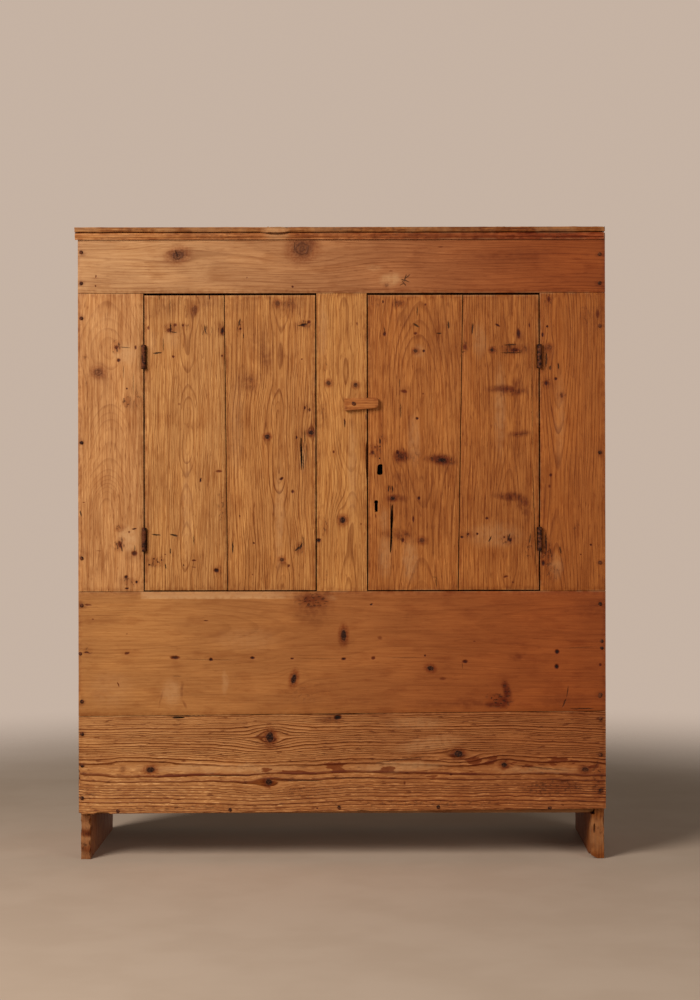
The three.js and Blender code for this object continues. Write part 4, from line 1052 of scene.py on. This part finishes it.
def inner_material(name, lie, number, light=1.0):
    """The finish of an unseen board; each number gives a board that was cut in another place."""
    tone = [value * 255 * light for value in bpy.context.scene.cupboard_colours.inner_pine]
    return pine_finish(name, dict(
        lie=lie, tone=tone, heart=-420 + 291 * number, deep=30 + 11 * (number % 4), climb=0.01,
        swells=[(14, 130, number), (4, 39, 2 * number)], sways=[(8, 180, 3 * number)], spacing=8.0,
        contrast=0.6, fibre=0.6, loose=True), {})


def old_iron():
    """The hinges' and nails' finish, made once: dark scale with rust in its pits."""
    found = bpy.data.materials.get("old_iron")
    if found:
        return found
    material, spot = new_material("old_iron", IRON_TONE)
    pits = cloud(spot, 0.35, 4.0)
    bloom = smooth(cloud(spot, 0.12, 3.0), 0.38, 0.6)
    colour = mixed(own_colour("iron"), own_colour("rust"), bloom * smooth(pits, 0.3, 0.55))
    colour = tinted(colour, "scale", smooth(pits, 0.55, 0.7))
    finish_material(spot, colour, smooth(pits, 0.3, 0.7, 0.65, 0.875), pits, 0.5 * MM, sheen=0.08)
    return material


def floor_finish(colour):
    """A plain, slightly uneven floor that fades out some way from the cupboard."""
    material, spot = new_material("plain_floor", [value * 255 for value in colour])
    mottle = cloud(spot, 0.004, 3.0)
    tone = tinted(shown(colour), "mottle", smooth(mottle, 0.35, 0.65))
    reach = spot.vector("LENGTH", spot, output=1)
    finish_material(spot, tone, smooth(mottle, 0.3, 0.7, 0.75, 0.9), mottle, 0.2 * MM, sheen=0.0,
                    alpha=smooth(reach, *FLOOR_FADE, 1.0, 0.0))
    return material


# Modelling


def only(piece):
    """Selects one piece and makes it active, in object mode."""
    if bpy.context.object and bpy.context.object.mode != "OBJECT":
        bpy.ops.object.mode_set(mode="OBJECT")
    bpy.ops.object.select_all(action="DESELECT")
    if piece:
        bpy.context.view_layer.objects.active = piece
        piece.select_set(True)


def start(name, add, **size):
    """A new piece from one of Blender's primitives, its place and size put into its mesh."""
    only(None)
    add(**size)
    piece = bpy.context.object
    piece.name = piece.data.name = name
    bpy.ops.object.transform_apply(location=True, rotation=True, scale=True)
    return piece


def block(name, low, high):
    """A block between two corners, in the frame's metres."""
    low, high = Vector(low), Vector(high)
    return start(name, bpy.ops.mesh.primitive_cube_add, size=1, location=(low + high) / 2, scale=high - low)


@contextmanager
def picked(piece, kind, test=lambda part: True):
    """Edit mode with just those vertices, edges or faces selected that pass a test."""
    only(piece)
    bpy.ops.object.mode_set(mode="EDIT")
    bpy.ops.mesh.select_mode(type=kind)
    bpy.ops.mesh.select_all(action="DESELECT")
    mesh = bmesh.from_edit_mesh(piece.data)
    for part in {"VERT": mesh.verts, "EDGE": mesh.edges, "FACE": mesh.faces}[kind]:
        if test(part):
            part.select_set(True)
    mesh.select_flush_mode()
    bmesh.update_edit_mesh(piece.data)
    yield
    bpy.ops.object.mode_set(mode="OBJECT")


def shift(piece, test, move):
    """Moves the vertices whose places pass a test."""
    with picked(piece, "VERT", lambda vertex: test(vertex.co)):
        bpy.ops.transform.translate(value=move)


def roughen(piece, amount, seed, test=lambda vertex: True):
    """Moves vertices about at random, the same way for each seed."""
    with picked(piece, "VERT", test):
        bpy.ops.transform.vertex_random(offset=amount, seed=seed)


def lies_along(edge, axis):
    """Whether an edge runs the way of an axis."""
    return abs((edge.verts[0].co - edge.verts[1].co).normalized()[axis]) > 0.9


def cut_along(piece, axis, pieces):
    """Divides the edges that lie along an axis, and with them the faces between."""
    with picked(piece, "EDGE", lambda edge: lies_along(edge, axis)):
        bpy.ops.mesh.subdivide(number_cuts=pieces - 1)


def apply_modifier(piece, kind, **settings):
    """Gives a piece a modifier with its settings and puts it into the mesh."""
    only(piece)
    modifier = piece.modifiers.new(kind.lower(), kind)
    for name, value in settings.items():
        setattr(modifier, name, value)
    bpy.ops.object.modifier_apply(modifier=modifier.name)


def ease(piece, width, segments=2):
    """Rounds a piece's sharp edges over."""
    apply_modifier(piece, "BEVEL", width=width, segments=segments, limit_method="ANGLE",
                   angle_limit=SHARP)


def hollow(piece, depth, size, group=""):
    """Sinks a piece's surface unevenly, by up to a depth, in hollows of about a size."""
    texture = bpy.data.textures.new("hollows", "CLOUDS")
    texture.noise_scale = size
    texture.noise_depth = 2
    apply_modifier(piece, "DISPLACE", texture=texture, texture_coords="LOCAL", direction="NORMAL",
                   mid_level=0.0, strength=-depth, vertex_group=group)
    bpy.data.textures.remove(texture)


def wear(piece, rounding=1.0):
    """Makes edges wander, rounds them over and leaves the faces a little hollow."""
    settings = bpy.context.scene.cupboard_wear
    with picked(piece, "EDGE", lambda edge: False):
        bpy.ops.mesh.edges_select_sharp(sharpness=SHARP)
        bpy.ops.object.vertex_group_assign_new()
    group = piece.vertex_groups[-1].name
    for size in EDGE_HOLLOWS:
        hollow(piece, settings.edge_wander * rounding, size * MM, group)
    piece.vertex_groups.clear()
    ease(piece, settings.edge_radius * rounding)
    hollow(piece, settings.face_wander, FACE_HOLLOWS * MM)


def keep_within(piece, node):
    """Flattens onto a board's own box whatever the wear pushed out of it."""
    for side, plane in zip((-1, 1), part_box(node)):
        for axis in range(3):
            if any((vertex.co[axis] - plane[axis]) * side > 0 for vertex in piece.data.vertices):
                flat = [0 if number == axis else 1 for number in range(3)]
                with picked(piece, "VERT", lambda vertex: (vertex.co[axis] - plane[axis]) * side > 0):
                    bpy.ops.transform.resize(value=flat, center_override=plane)


def chisel(name, middle, size, turn, seed, jag=0.07):
    """A rough, pointed bit of wood to be cut out of a board."""
    bit = start(name, bpy.ops.mesh.primitive_ico_sphere_add, subdivisions=2, radius=0.5,
                location=place(*middle), scale=Vector(size) * MM,
                rotation=[math.radians(angle) for angle in turn])
    roughen(bit, jag * min(size) * MM, seed)
    return bit


def chip(piece, node, others=()):
    """Cuts a board's broken bits out of it, and other pieces before them."""
    combine(piece, [*others, *(chisel(*row) for row in BITES.get(node, []))], "DIFFERENCE")


def volume(piece):
    """A closed mesh's volume in cubic metres."""
    mesh = bmesh.new()
    mesh.from_mesh(piece.data)
    amount = mesh.calc_volume()
    mesh.free()
    return amount


def combine(piece, others, operation):
    """Cuts other pieces out of a piece, or joins them to it, and takes them away."""
    for other in others:
        before = volume(piece)
        most = volume(other)
        apply_modifier(piece, "BOOLEAN", operation=operation, solver="EXACT", object=other)
        change = abs(volume(piece) - before)
        if change > most * 1.02 or change < most * 0.001:
            raise RuntimeError(
                f"{piece.name}: {other.name} changed {change * 1e6:.1f} ml of {most * 1e6:.1f}")
        bpy.data.objects.remove(other)


def settle(piece, body, material, nodes, angle=22):
    """Shades a finished piece, gives it its material and body, and hides the nodes it stands for."""
    only(piece)
    bpy.ops.object.shade_smooth_by_angle(angle=math.radians(angle))
    if material:
        piece.data.materials.clear()
        piece.data.materials.append(material)
    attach(piece, body)
    if nodes:
        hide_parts(*nodes)


def dressed_copy(node, name, edge):
    """A copy of a frame node with its triangles merged and its edges rounded, as the start of a piece."""
    source = frame["nodes"][node]
    only(source)
    bpy.ops.object.duplicate(linked=False)
    piece = bpy.context.object
    piece.name = piece.data.name = name
    piece.parent = None
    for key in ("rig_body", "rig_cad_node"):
        if key in piece:
            del piece[key]
    with picked(piece, "VERT"):
        bpy.ops.mesh.remove_doubles(threshold=0.00001)
        bpy.ops.mesh.dissolve_limited(angle_limit=math.radians(1))
    ease(piece, edge)
    return piece


def corner(piece, side_x, side_z, move):
    """Moves the vertices at one corner of a block, seen from the front."""
    middle = sum((Vector(point) for point in piece.bound_box), Vector()) / 8
    shift(piece, lambda at: (at.x - middle.x) * side_x > 0 and (at.z - middle.z) * side_z > 0,
          [value * MM for value in move])


def node_plank(node, corners=(), size=13, across=18, face_cells=()):
    """A plank the size of a frame node, its corners moved as told, divided into cells of a size in mm."""
    low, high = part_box(node)
    piece = block("worn_" + node, low, high)
    for side_x, side_z, move in corners:
        corner(piece, side_x, side_z, move)
    extent = high - low
    longest = max(range(3), key=lambda axis: extent[axis])
    for axis in range(3):
        step = dict(face_cells).get(axis, size if axis == longest else across) * MM
        cut_along(piece, axis, max(2, round(extent[axis] / step)))
    return piece


def marks_between(marks, axis, low, high):
    """The marks that reach into a stretch of a board, across (0) or up (1)."""
    def reaches(row):
        reach = max(row[2:4]) * 1.5 + 12
        return low - reach < row[axis] < high + reach

    return {kind: [row for row in rows if reaches(row)] for kind, rows in marks.items()}


def dress(piece, node):
    """Gives a board its finish, with rust round its nails, in stretches where its marks are many."""
    marks = dict(MARKS.get(node, {}))
    nails = [measured(sum(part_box(name), Vector()) / 2)
             for name in frame["nodes"] if name.startswith(node + "_nail_")]
    marks["stains"] = marks.get("stains", []) + [(at.x, at.z) + RUST_STAIN for at in nails]
    stretches = 1 + sum(len(rows) for rows in marks.values()) // MOST_MARKS
    along = LIES[BOARDS[node]["lie"]][1]
    low, high = (measured(end)[along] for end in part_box(node))
    length = (high - low) / stretches
    piece.data.materials.clear()
    for number in range(stretches):
        first = low + number * length
        title = node if stretches == 1 else f"{node}_{number + 1}"
        near = marks_between(marks, int(along == Z), first, first + length)
        piece.data.materials.append(pine_finish(node, BOARDS[node], near, title))
    for face in piece.data.polygons:
        number = int((measured(face.center)[along] - low) / length)
        face.material_index = min(stretches - 1, max(0, number))


def finish_board(piece, node, body="case", angle=22):
    """Gives a board of the outside its finish and its place in the frame."""
    dress(piece, node)
    settle(piece, body, None, [node], angle)


def make_room(piece, nodes):
    """Cuts out of a piece the places where other nodes lie, each a little larger than its node."""
    margin = Vector((ROOM,) * 3) * MM
    rooms = [block("room", low - margin, high + margin) for low, high in map(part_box, nodes)]
    combine(piece, rooms, "DIFFERENCE")


def make_leaf_room(piece, side, leaf):
    """Cuts the places of a side's two hinge leaves out of a board."""
    make_room(piece, [f"{side}_{level}_hinge_{leaf}_leaf" for level in ("upper", "lower")])


def close_joint(piece, axis, end, amount=JOINT):
    """Moves a board's end face out a little, so that it touches its neighbour."""
    edge = piece.bound_box[6 if end > 0 else 0][axis]
    move = [0.0, 0.0, 0.0]
    move[axis] = end * amount * MM
    shift(piece, lambda at: (edge - at[axis]) * end < 2 * MM, move)


class CUPBOARD_OT_front_boards(bpy.types.Operator):
    """Two wide boards that close the bin, the lower one scrubbed until its rings stand out, with a painted
    highlight along them
    """

    bl_idname = "cupboard.front_boards"
    bl_label = "Bin boards"

    def execute(self, context):
        upper = node_plank("upper_front_board", [(1, -1, (0, 0, LOWER_BOARD_TILT))])
        shift(upper, lambda at: at.z < SEAM_TOP * MM, (0, 0, -JOINT * MM))
        close_joint(upper, Z, 1)
        wear(upper, rounding=0.3)
        finish_board(upper, "upper_front_board")
        tilt = [(1, -1, (0, 0, LOWER_BOARD_TILT)), (-1, 1, (0, 0, -LOWER_BOARD_TILT))]
        lower = node_plank(SCRUBBED, tilt, face_cells=((X, 10), (Z, 1.5), (Y, 11)))
        chip(lower, SCRUBBED)
        wear(lower, rounding=0.4)
        self.scrub(lower, context.scene.cupboard_wear.ridge_depth)
        finish_board(lower, SCRUBBED, angle=40)
        return {"FINISHED"}

    def scrub(self, piece, depth):
        """Sinks the soft wood of the face between the hard rings."""
        mesh = piece.data
        places = np.empty(len(mesh.vertices) * 3)
        mesh.vertices.foreach_get("co", places)
        places = places.reshape(-1, 3)
        across = (places[:, X] - CASE_MIDDLE) / MM
        into = (places[:, Y] - FRONT_FACE) / MM
        up = places[:, Z] / MM
        hard = late_wood(ring_phase(up, across, 0.0, BOARDS[SCRUBBED], MARKS[SCRUBBED]["knots"]))
        places[:, Y] += np.where(into < 4, depth * (1 - hard), 0)
        mesh.vertices.foreach_set("co", places.ravel())
        mesh.update()


class CUPBOARD_OT_face_frame(bpy.types.Operator):
    """Top rail and the three uprights beside and between the doors"""

    bl_idname = "cupboard.face_frame"
    bl_label = "Rail and stiles"

    def execute(self, context):
        for node in ("top_rail", "left_stile", "centre_stile", "right_stile"):
            piece = node_plank(node)
            close_joint(piece, Z, -1)
            if node != "top_rail":
                close_joint(piece, Z, 1)
            if node in ("left_stile", "right_stile"):
                make_leaf_room(piece, node.split("_")[0], "stile")
            chip(piece, node)
            wear(piece, rounding=0.3)
            finish_board(piece, node)
        return {"FINISHED"}


class CUPBOARD_OT_doors(bpy.types.Operator):
    """Two boards in each door, with a latch hole and a keyhole in the right one"""

    bl_idname = "cupboard.doors"
    bl_label = "Door boards"

    def execute(self, context):
        left, right = LEFT_SEAM_LEAN, RIGHT_SEAM_LEAN
        leans = {
            "left_door_outer_board": [(1, 1, (-left, 0, 0))],
            "left_door_inner_board": [(-1, -1, (left, 0, 0))],
            "right_door_inner_board": [(1, -1, (-right, 0, 0))],
            "right_door_outer_board": [(-1, 1, (right, 0, 0))],
        }
        for node, corners in leans.items():
            side = node.split("_")[0]
            piece = node_plank(node, corners)
            close_joint(piece, Z, 1, amount=DOOR_JOINT)
            if "outer" in node:
                make_leaf_room(piece, side, "door")
            chip(piece, node, self.holes() if node == "right_door_inner_board" else ())
            wear(piece, rounding=0.45)
            finish_board(piece, node, side + "_door")
        return {"FINISHED"}

    def holes(self):
        """The latch hole and the keyhole, to be cut out of the right door's free board."""
        latch, slot = (
            block(name, *(place(*end) for end in ends))
            for name, ends in (("latch", LATCH_HOLE), ("slot", KEYHOLE_SLOT)))
        corner(latch, -1, 1, (1.5, 0, -2.5))
        corner(slot, -1, -1, (1.2, 0, 0))
        with picked(latch, "EDGE", lambda edge: lies_along(edge, Y)):
            bpy.ops.mesh.bevel(offset=HOLE_RADIUS * MM, segments=4, affect="EDGES")
        bore = start("bore", bpy.ops.mesh.primitive_cylinder_add, vertices=20, radius=HOLE_RADIUS * MM,
                     depth=60 * MM, location=place(*KEYHOLE_EYE), rotation=(math.pi / 2, 0, 0))
        return [latch, bore, slot]


class CUPBOARD_OT_battens(bpy.types.Operator):
    """Two battens across the back of each door"""

    bl_idname = "cupboard.battens"
    bl_label = "Door battens"

    def execute(self, context):
        places = [(side, level) for side in ("left", "right") for level in ("upper", "lower")]
        for number, (side, level) in enumerate(places, 1):
            node = f"{side}_door_{level}_batten"
            piece = node_plank(node)
            wear(piece)
            settle(piece, side + "_door", inner_material(node, "lying", number), [node])
        return {"FINISHED"}


class CUPBOARD_OT_sides(bpy.types.Operator):
    """Side boards that reach the floor as feet, grooved for the shelves and rebated for the back"""

    bl_idname = "cupboard.sides"
    bl_label = "Side boards"

    def execute(self, context):
        for node in ("side_board_left", "side_board_right"):
            piece = node_plank(node, size=16, across=16)
            if node == "side_board_right":
                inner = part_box(node)[0].x + FOOT_WORN.x
                shift(piece, lambda at: at.z < MM and at.x < inner and at.y < FRONT_FACE + FOOT_WORN.y,
                      (0, 0, FOOT_WORN.z))
            back = "back_board_1" if node == "side_board_left" else "back_board_4"
            make_room(piece, ["case_floor", "lower_shelf", "upper_shelf", back])
            chip(piece, node)
            wear(piece)
            keep_within(piece, node)
            finish_board(piece, node)
        return {"FINISHED"}


class CUPBOARD_OT_shelves(bpy.types.Operator):
    """Floor of the bin and two shelves"""

    bl_idname = "cupboard.shelves"
    bl_label = "Shelves"

    def execute(self, context):
        for number, node in enumerate(("case_floor", "lower_shelf", "upper_shelf")):
            piece = node_plank(node, size=20, across=20)
            if node == "case_floor":
                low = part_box(node)[0]
                shift(piece, lambda at: at.y < low.y + MM and at.z < low.z + MM, (0, 0, CASE_FLOOR_EDGE))
            wear(piece)
            settle(piece, "case", inner_material(node, "flat", number + 5), [node])
        return {"FINISHED"}


class CUPBOARD_OT_back(bpy.types.Operator):
    """Four upright boards in the back's rebate"""

    bl_idname = "cupboard.back"
    bl_label = "Back boards"

    def execute(self, context):
        for number in range(4):
            node = f"back_board_{number + 1}"
            piece = node_plank(node, size=18, across=18)
            if number < 3:
                close_joint(piece, X, 1, amount=BACK_JOINT)
            wear(piece, rounding=0.35)
            light = 0.94 + 0.05 * (number % 3)
            settle(piece, "case", inner_material(node, "upright", number + 9, light), [node])
        return {"FINISHED"}


class CUPBOARD_OT_top(bpy.types.Operator):
    """Two boards that make the top, the front one splintered along its edge"""

    bl_idname = "cupboard.top"
    bl_label = "Top boards"

    def execute(self, context):
        front = node_plank("top_board_front", size=11, across=15, face_cells=((Z, 5),))
        middle = place(*SPLINTER)
        for reach, drop in SAGS:
            shift(front, lambda at: at.y < middle.y and at.z < middle.z
                  and abs(at.x - middle.x) < reach * MM, (0, 0, -drop * MM))
        chip(front, "top_board_front")
        back = node_plank("top_board_back", size=14, across=18)
        for piece, node, rounding in ((front, "top_board_front", 2.1), (back, "top_board_back", 1.2)):
            wear(piece, rounding)
            keep_within(piece, node)
            finish_board(piece, node)
        return {"FINISHED"}


class CUPBOARD_OT_moulding(bpy.types.Operator):
    """Bead and fillet in one strip under the top's front edge"""

    bl_idname = "cupboard.moulding"
    bl_label = "Bead moulding"

    def execute(self, context):
        low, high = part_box("bead_moulding")
        foot = low.z + 4 * MM
        step = 5.5 * MM
        wall = high.y
        piece = block("worn_bead_moulding", (low.x, wall - step, low.z), (high.x, wall, high.z))
        bead = start("bead", bpy.ops.mesh.primitive_cylinder_add, vertices=28, radius=0.5, depth=1,
                     rotation=(0, math.pi / 2, 0),
                     location=((low.x + high.x) / 2, wall - step, (foot + high.z) / 2),
                     scale=((high.z - foot) * 0.98, (wall - step - low.y) * 2, high.x - low.x))
        combine(piece, [bead], "UNION")
        lengths = 66
        for count in range(1, lengths):
            at = low.x + (high.x - low.x) * count / lengths
            with picked(piece, "VERT"):
                bpy.ops.mesh.bisect(plane_co=(at, 0, 0), plane_no=(1, 0, 0))
        chip(piece, "bead_moulding")
        hollow(piece, 0.7 * MM, 30 * MM)
        finish_board(piece, "bead_moulding", angle=30)
        return {"FINISHED"}


class CUPBOARD_OT_button(bpy.types.Operator):
    """Turn button on its screw"""

    bl_idname = "cupboard.button"
    bl_label = "Turn button"

    def execute(self, context):
        low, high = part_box("turn_button")
        piece = block("worn_turn_button", low, high)
        corner(piece, -1, 1, (0, 0, -3))
        corner(piece, 1, -1, (0, 0, 7))
        middle = (low.x + high.x) / 2
        for test, width in ((lambda at: at < middle, 3 * MM), (lambda at: at > middle, 9 * MM)):
            with picked(piece, "EDGE", lambda edge: lies_along(edge, Y) and test(edge.verts[0].co.x)):
                bpy.ops.mesh.bevel(offset=width, segments=5, affect="EDGES")
        cut_along(piece, Y, 3)
        ease(piece, 1.6 * MM, segments=3)
        apply_modifier(piece, "REMESH", mode="VOXEL", voxel_size=0.9 * MM)
        hollow(piece, 0.6 * MM, 14 * MM)
        finish_board(piece, "turn_button", "turn_button", angle=60)
        screw = dressed_copy("turn_button_screw", "worn_button_screw", 0.3 * MM)
        settle(screw, "case", old_iron(), ["turn_button_screw"], angle=40)
        return {"FINISHED"}


class CUPBOARD_OT_hinges(bpy.types.Operator):
    """Leaves, knuckles and pins of the four butt hinges"""

    bl_idname = "cupboard.hinges"
    bl_label = "Hinges"

    def execute(self, context):
        for side in ("left", "right"):
            for level in ("upper", "lower"):
                for part in ("stile_leaf", "door_leaf", "pin"):
                    node = f"{side}_{level}_hinge_{part}"
                    piece = dressed_copy(node, "worn_" + node, 0.45 * MM)
                    body = side + "_door" if part == "door_leaf" else "case"
                    settle(piece, body, old_iron(), [node], angle=40)
        return {"FINISHED"}


class CUPBOARD_OT_nails(bpy.types.Operator):
    """Cut nails in the front boards, the back and the top"""

    bl_idname = "cupboard.nails"
    bl_label = "Nails"

    def execute(self, context):
        for number, node in enumerate(sorted(name for name in frame["nodes"] if "_nail_" in name)):
            at = sum(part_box(node), Vector()) / 2
            nail = self.nail("worn_" + node, FRONT_NAIL, number, (at.x, FRONT_FACE, at.z))
            settle(nail, "case", old_iron(), [node], angle=40)
        self.join("bin_board_nails", "case", [
            self.nail("floor_nail", BIN_NAIL, 30 + number, place(x, 0.8, z))
            for number, (x, z) in enumerate(EXTRA_NAILS)])
        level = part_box("top_board_front")[1].z / MM - NAIL_SUNK
        down = (-math.pi / 2, 0, 0)
        self.join("top_nails", "case", [
            self.nail("top_nail", CASE_NAIL, 60 + number, place(x, y, level), down)
            for number, (x, y) in enumerate(TOP_NAILS)])
        self.back_nails()
        for side, places in DOOR_NAILS.items():
            self.join(side + "_door_nail_points", side + "_door", [
                self.point(side, number, *at) for number, at in enumerate(places)])
        return {"FINISHED"}

    def back_nails(self):
        """Two nails in each back board at each shelf, heads outwards."""
        nails = []
        for board in range(4):
            low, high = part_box(f"back_board_{board + 1}")
            for level in BACK_NAIL_LEVELS:
                for share in BACK_NAIL_SHARES:
                    wander = 5 * MM * math.sin(7.0 * len(nails))
                    across = low.x + (high.x - low.x) * share + wander
                    at = (across, high.y - NAIL_SUNK * MM, level * MM + wander * 0.5)
                    nails.append(self.nail("back_nail", CASE_NAIL, 90 + len(nails), at, (0, 0, math.pi)))
        self.join("back_nails", "case", nails)

    def point(self, side, number, x, z):
        """A nail's point, bent over and hammered into a batten."""
        level = "upper" if z > 1100 else "lower"
        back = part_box(f"{side}_door_{level}_batten")[1].y
        long, half = 15 * MM, 1.7 * MM
        point = start("point", bpy.ops.mesh.primitive_cylinder_add, vertices=8, radius=half, depth=long,
                      location=(0, half * 0.3, 0))
        with picked(point, "FACE", lambda face: face.normal.z > 0.9):
            bpy.ops.transform.resize(value=(0.4, 0.4, 1), center_override=(0, -1.5 * MM, long / 2))
        cut_along(point, Z, 4)
        roughen(point, 0.25 * MM, number)
        self.put(point, (place(x, 0, 0).x, back, z * MM), (0, 0.4 * math.sin(5.0 * number + x), 0))
        return point

    def nail(self, name, length, seed, at, turn=(0, 0, 0)):
        """One hand-cut nail: a hammered head, and a shank that tapers to a blunt point."""
        half, thick, length = 4.8 * MM, 2.2 * MM, length * MM
        piece = start(name, bpy.ops.mesh.primitive_cylinder_add, vertices=9, radius=half, depth=thick,
                      location=(0, 0.2 * MM - thick / 2, 0), rotation=(math.pi / 2, 0, 0))
        with picked(piece, "FACE", lambda face: face.normal.y < -0.9):
            bpy.ops.mesh.inset(thickness=half * 0.5)
        shift(piece, lambda at: at.y < -thick * 0.7 and math.hypot(at.x, at.z) > half * 0.8,
              (0, 0.9 * MM, 0))
        with picked(piece, "FACE", lambda face: face.normal.y > 0.9):
            bpy.ops.mesh.inset(thickness=half * 0.5)
            bpy.ops.mesh.extrude_region_move(TRANSFORM_OT_translate={"value": (0, length, 0)})
            bpy.ops.transform.resize(value=(0.55, 1, 0.7), center_override=(0, length, 0))
        roughen(piece, 0.45 * MM, seed, lambda vertex: vertex.co.y < MM)
        ease(piece, 0.5 * MM)
        self.put(piece, at, turn)
        return piece

    def put(self, piece, at, turn):
        """Moves and turns a piece that was made at the origin, and puts both into its mesh."""
        only(piece)
        piece.location = at
        piece.rotation_euler = turn
        bpy.ops.object.transform_apply(location=True, rotation=True, scale=False)

    def join(self, name, body, pieces):
        """Makes one iron piece of several."""
        only(pieces[0])
        for piece in pieces:
            piece.select_set(True)
        bpy.ops.object.join()
        piece = bpy.context.object
        piece.name = piece.data.name = name
        settle(piece, body, old_iron(), [], angle=40)


class CUPBOARD_OT_stage(bpy.types.Operator):
    """Floor, background, lamps and camera"""

    bl_idname = "cupboard.stage"
    bl_label = "Stage"

    def execute(self, context):
        values = context.scene.cupboard_stage
        disc = start("floor", bpy.ops.mesh.primitive_circle_add, vertices=96, radius=9, fill_type="NGON",
                     location=(0, 0, 0))
        with picked(disc, "FACE"):
            bpy.ops.mesh.inset(thickness=1.2)
        shift(disc, lambda at: at.length > 8.5, (0, 0, -0.02))
        disc.data.materials.append(floor_finish(values.floor))
        self.world(context, values)
        for name, at, size, setting in LAMPS:
            self.lamp(name, at, size, getattr(values, setting))
        self.camera(context)
        return {"FINISHED"}

    def lamp(self, name, at, size, power):
        """A round lamp that is aimed at the cupboard's middle and isn't seen itself."""
        aim = (Vector(LAMP_AIM) - Vector(at)).to_track_quat("-Z", "Y").to_euler()
        bpy.ops.object.light_add(type="AREA", location=at, rotation=aim)
        lamp = bpy.context.object
        lamp.name = name
        lamp.data.shape = "DISK"
        lamp.data.size = size
        lamp.data.energy = power
        lamp.visible_camera = False

    def world(self, context, values):
        """Even light, and a plain pale colour wherever the world is seen or mirrored."""
        world = context.scene.world or bpy.data.worlds.new("studio")
        context.scene.world = world
        world.use_nodes = True
        tree = world.node_tree
        tree.nodes.clear()
        light, seen = (
            add_node(tree, "ShaderNodeBackground", {}, {"Color": colour, "Strength": strength})
            for colour, strength in ((SKY_LIGHT, values.sky_strength), (shown(values.backdrop), 1.0)))
        camera = add_node(tree, "ShaderNodeLightPath", output="Is Camera Ray")
        glossy = Wire(tree, camera.socket.node.outputs["Is Glossy Ray"])
        through = Wire(tree, camera.socket.node.outputs["Is Transmission Ray"])
        seen_directly = larger(larger(camera, glossy), through)
        mix = add_node(tree, "ShaderNodeMixShader", {}, {0: seen_directly, 1: light, 2: seen})
        output = tree.nodes.new("ShaderNodeOutputWorld")
        tree.links.new(mix.socket, output.inputs["Surface"])

    def camera(self, context):
        bpy.ops.object.camera_add(location=place(*CAMERA_PLACE), rotation=(math.pi / 2, CAMERA_ROLL, 0))
        camera = bpy.context.object
        for name, value in CAMERA.items():
            setattr(camera.data, name, value)
        context.scene.camera = camera
        context.scene.view_settings.view_transform = "Standard"


class CUPBOARD_PT_panel(bpy.types.Panel):
    """Lists the steps that dress the cupboard"""

    bl_idname = "CUPBOARD_PT_panel"
    bl_label = "Cupboard"
    bl_space_type = "VIEW_3D"
    bl_region_type = "UI"
    bl_category = "Cupboard"

    def draw(self, context):
        layout = self.layout
        for group in ("cupboard_wear", "cupboard_colours", "cupboard_stage"):
            values = getattr(context.scene, group)
            column = layout.column(align=True)
            for name in values.__annotations__:
                column.prop(values, name)
        column = layout.column(align=True)
        for step in STEPS:
            column.operator(step.bl_idname)


STEPS = (
    CUPBOARD_OT_stage, CUPBOARD_OT_front_boards, CUPBOARD_OT_face_frame, CUPBOARD_OT_doors,
    CUPBOARD_OT_battens, CUPBOARD_OT_sides, CUPBOARD_OT_shelves, CUPBOARD_OT_back, CUPBOARD_OT_top,
    CUPBOARD_OT_moulding, CUPBOARD_OT_button, CUPBOARD_OT_hinges, CUPBOARD_OT_nails,
)
GROUPS = {
    "cupboard_wear": CupboardWear, "cupboard_colours": CupboardColours, "cupboard_stage": CupboardStage,
}


def register():
    for group in GROUPS.values():
        bpy.utils.register_class(group)
    for name, group in GROUPS.items():
        setattr(bpy.types.Scene, name, bpy.props.PointerProperty(type=group))
    for step in STEPS + (CUPBOARD_PT_panel,):
        bpy.utils.register_class(step)


def unregister():
    for step in reversed(STEPS + (CUPBOARD_PT_panel,)):
        bpy.utils.unregister_class(step)
    for name, group in GROUPS.items():
        delattr(bpy.types.Scene, name)
        bpy.utils.unregister_class(group)


def main():
    register()
    for step in STEPS:
        family, name = step.bl_idname.split(".")
        getattr(getattr(bpy.ops, family), name)()
    only(None)


if __name__ == "__main__":
    main()
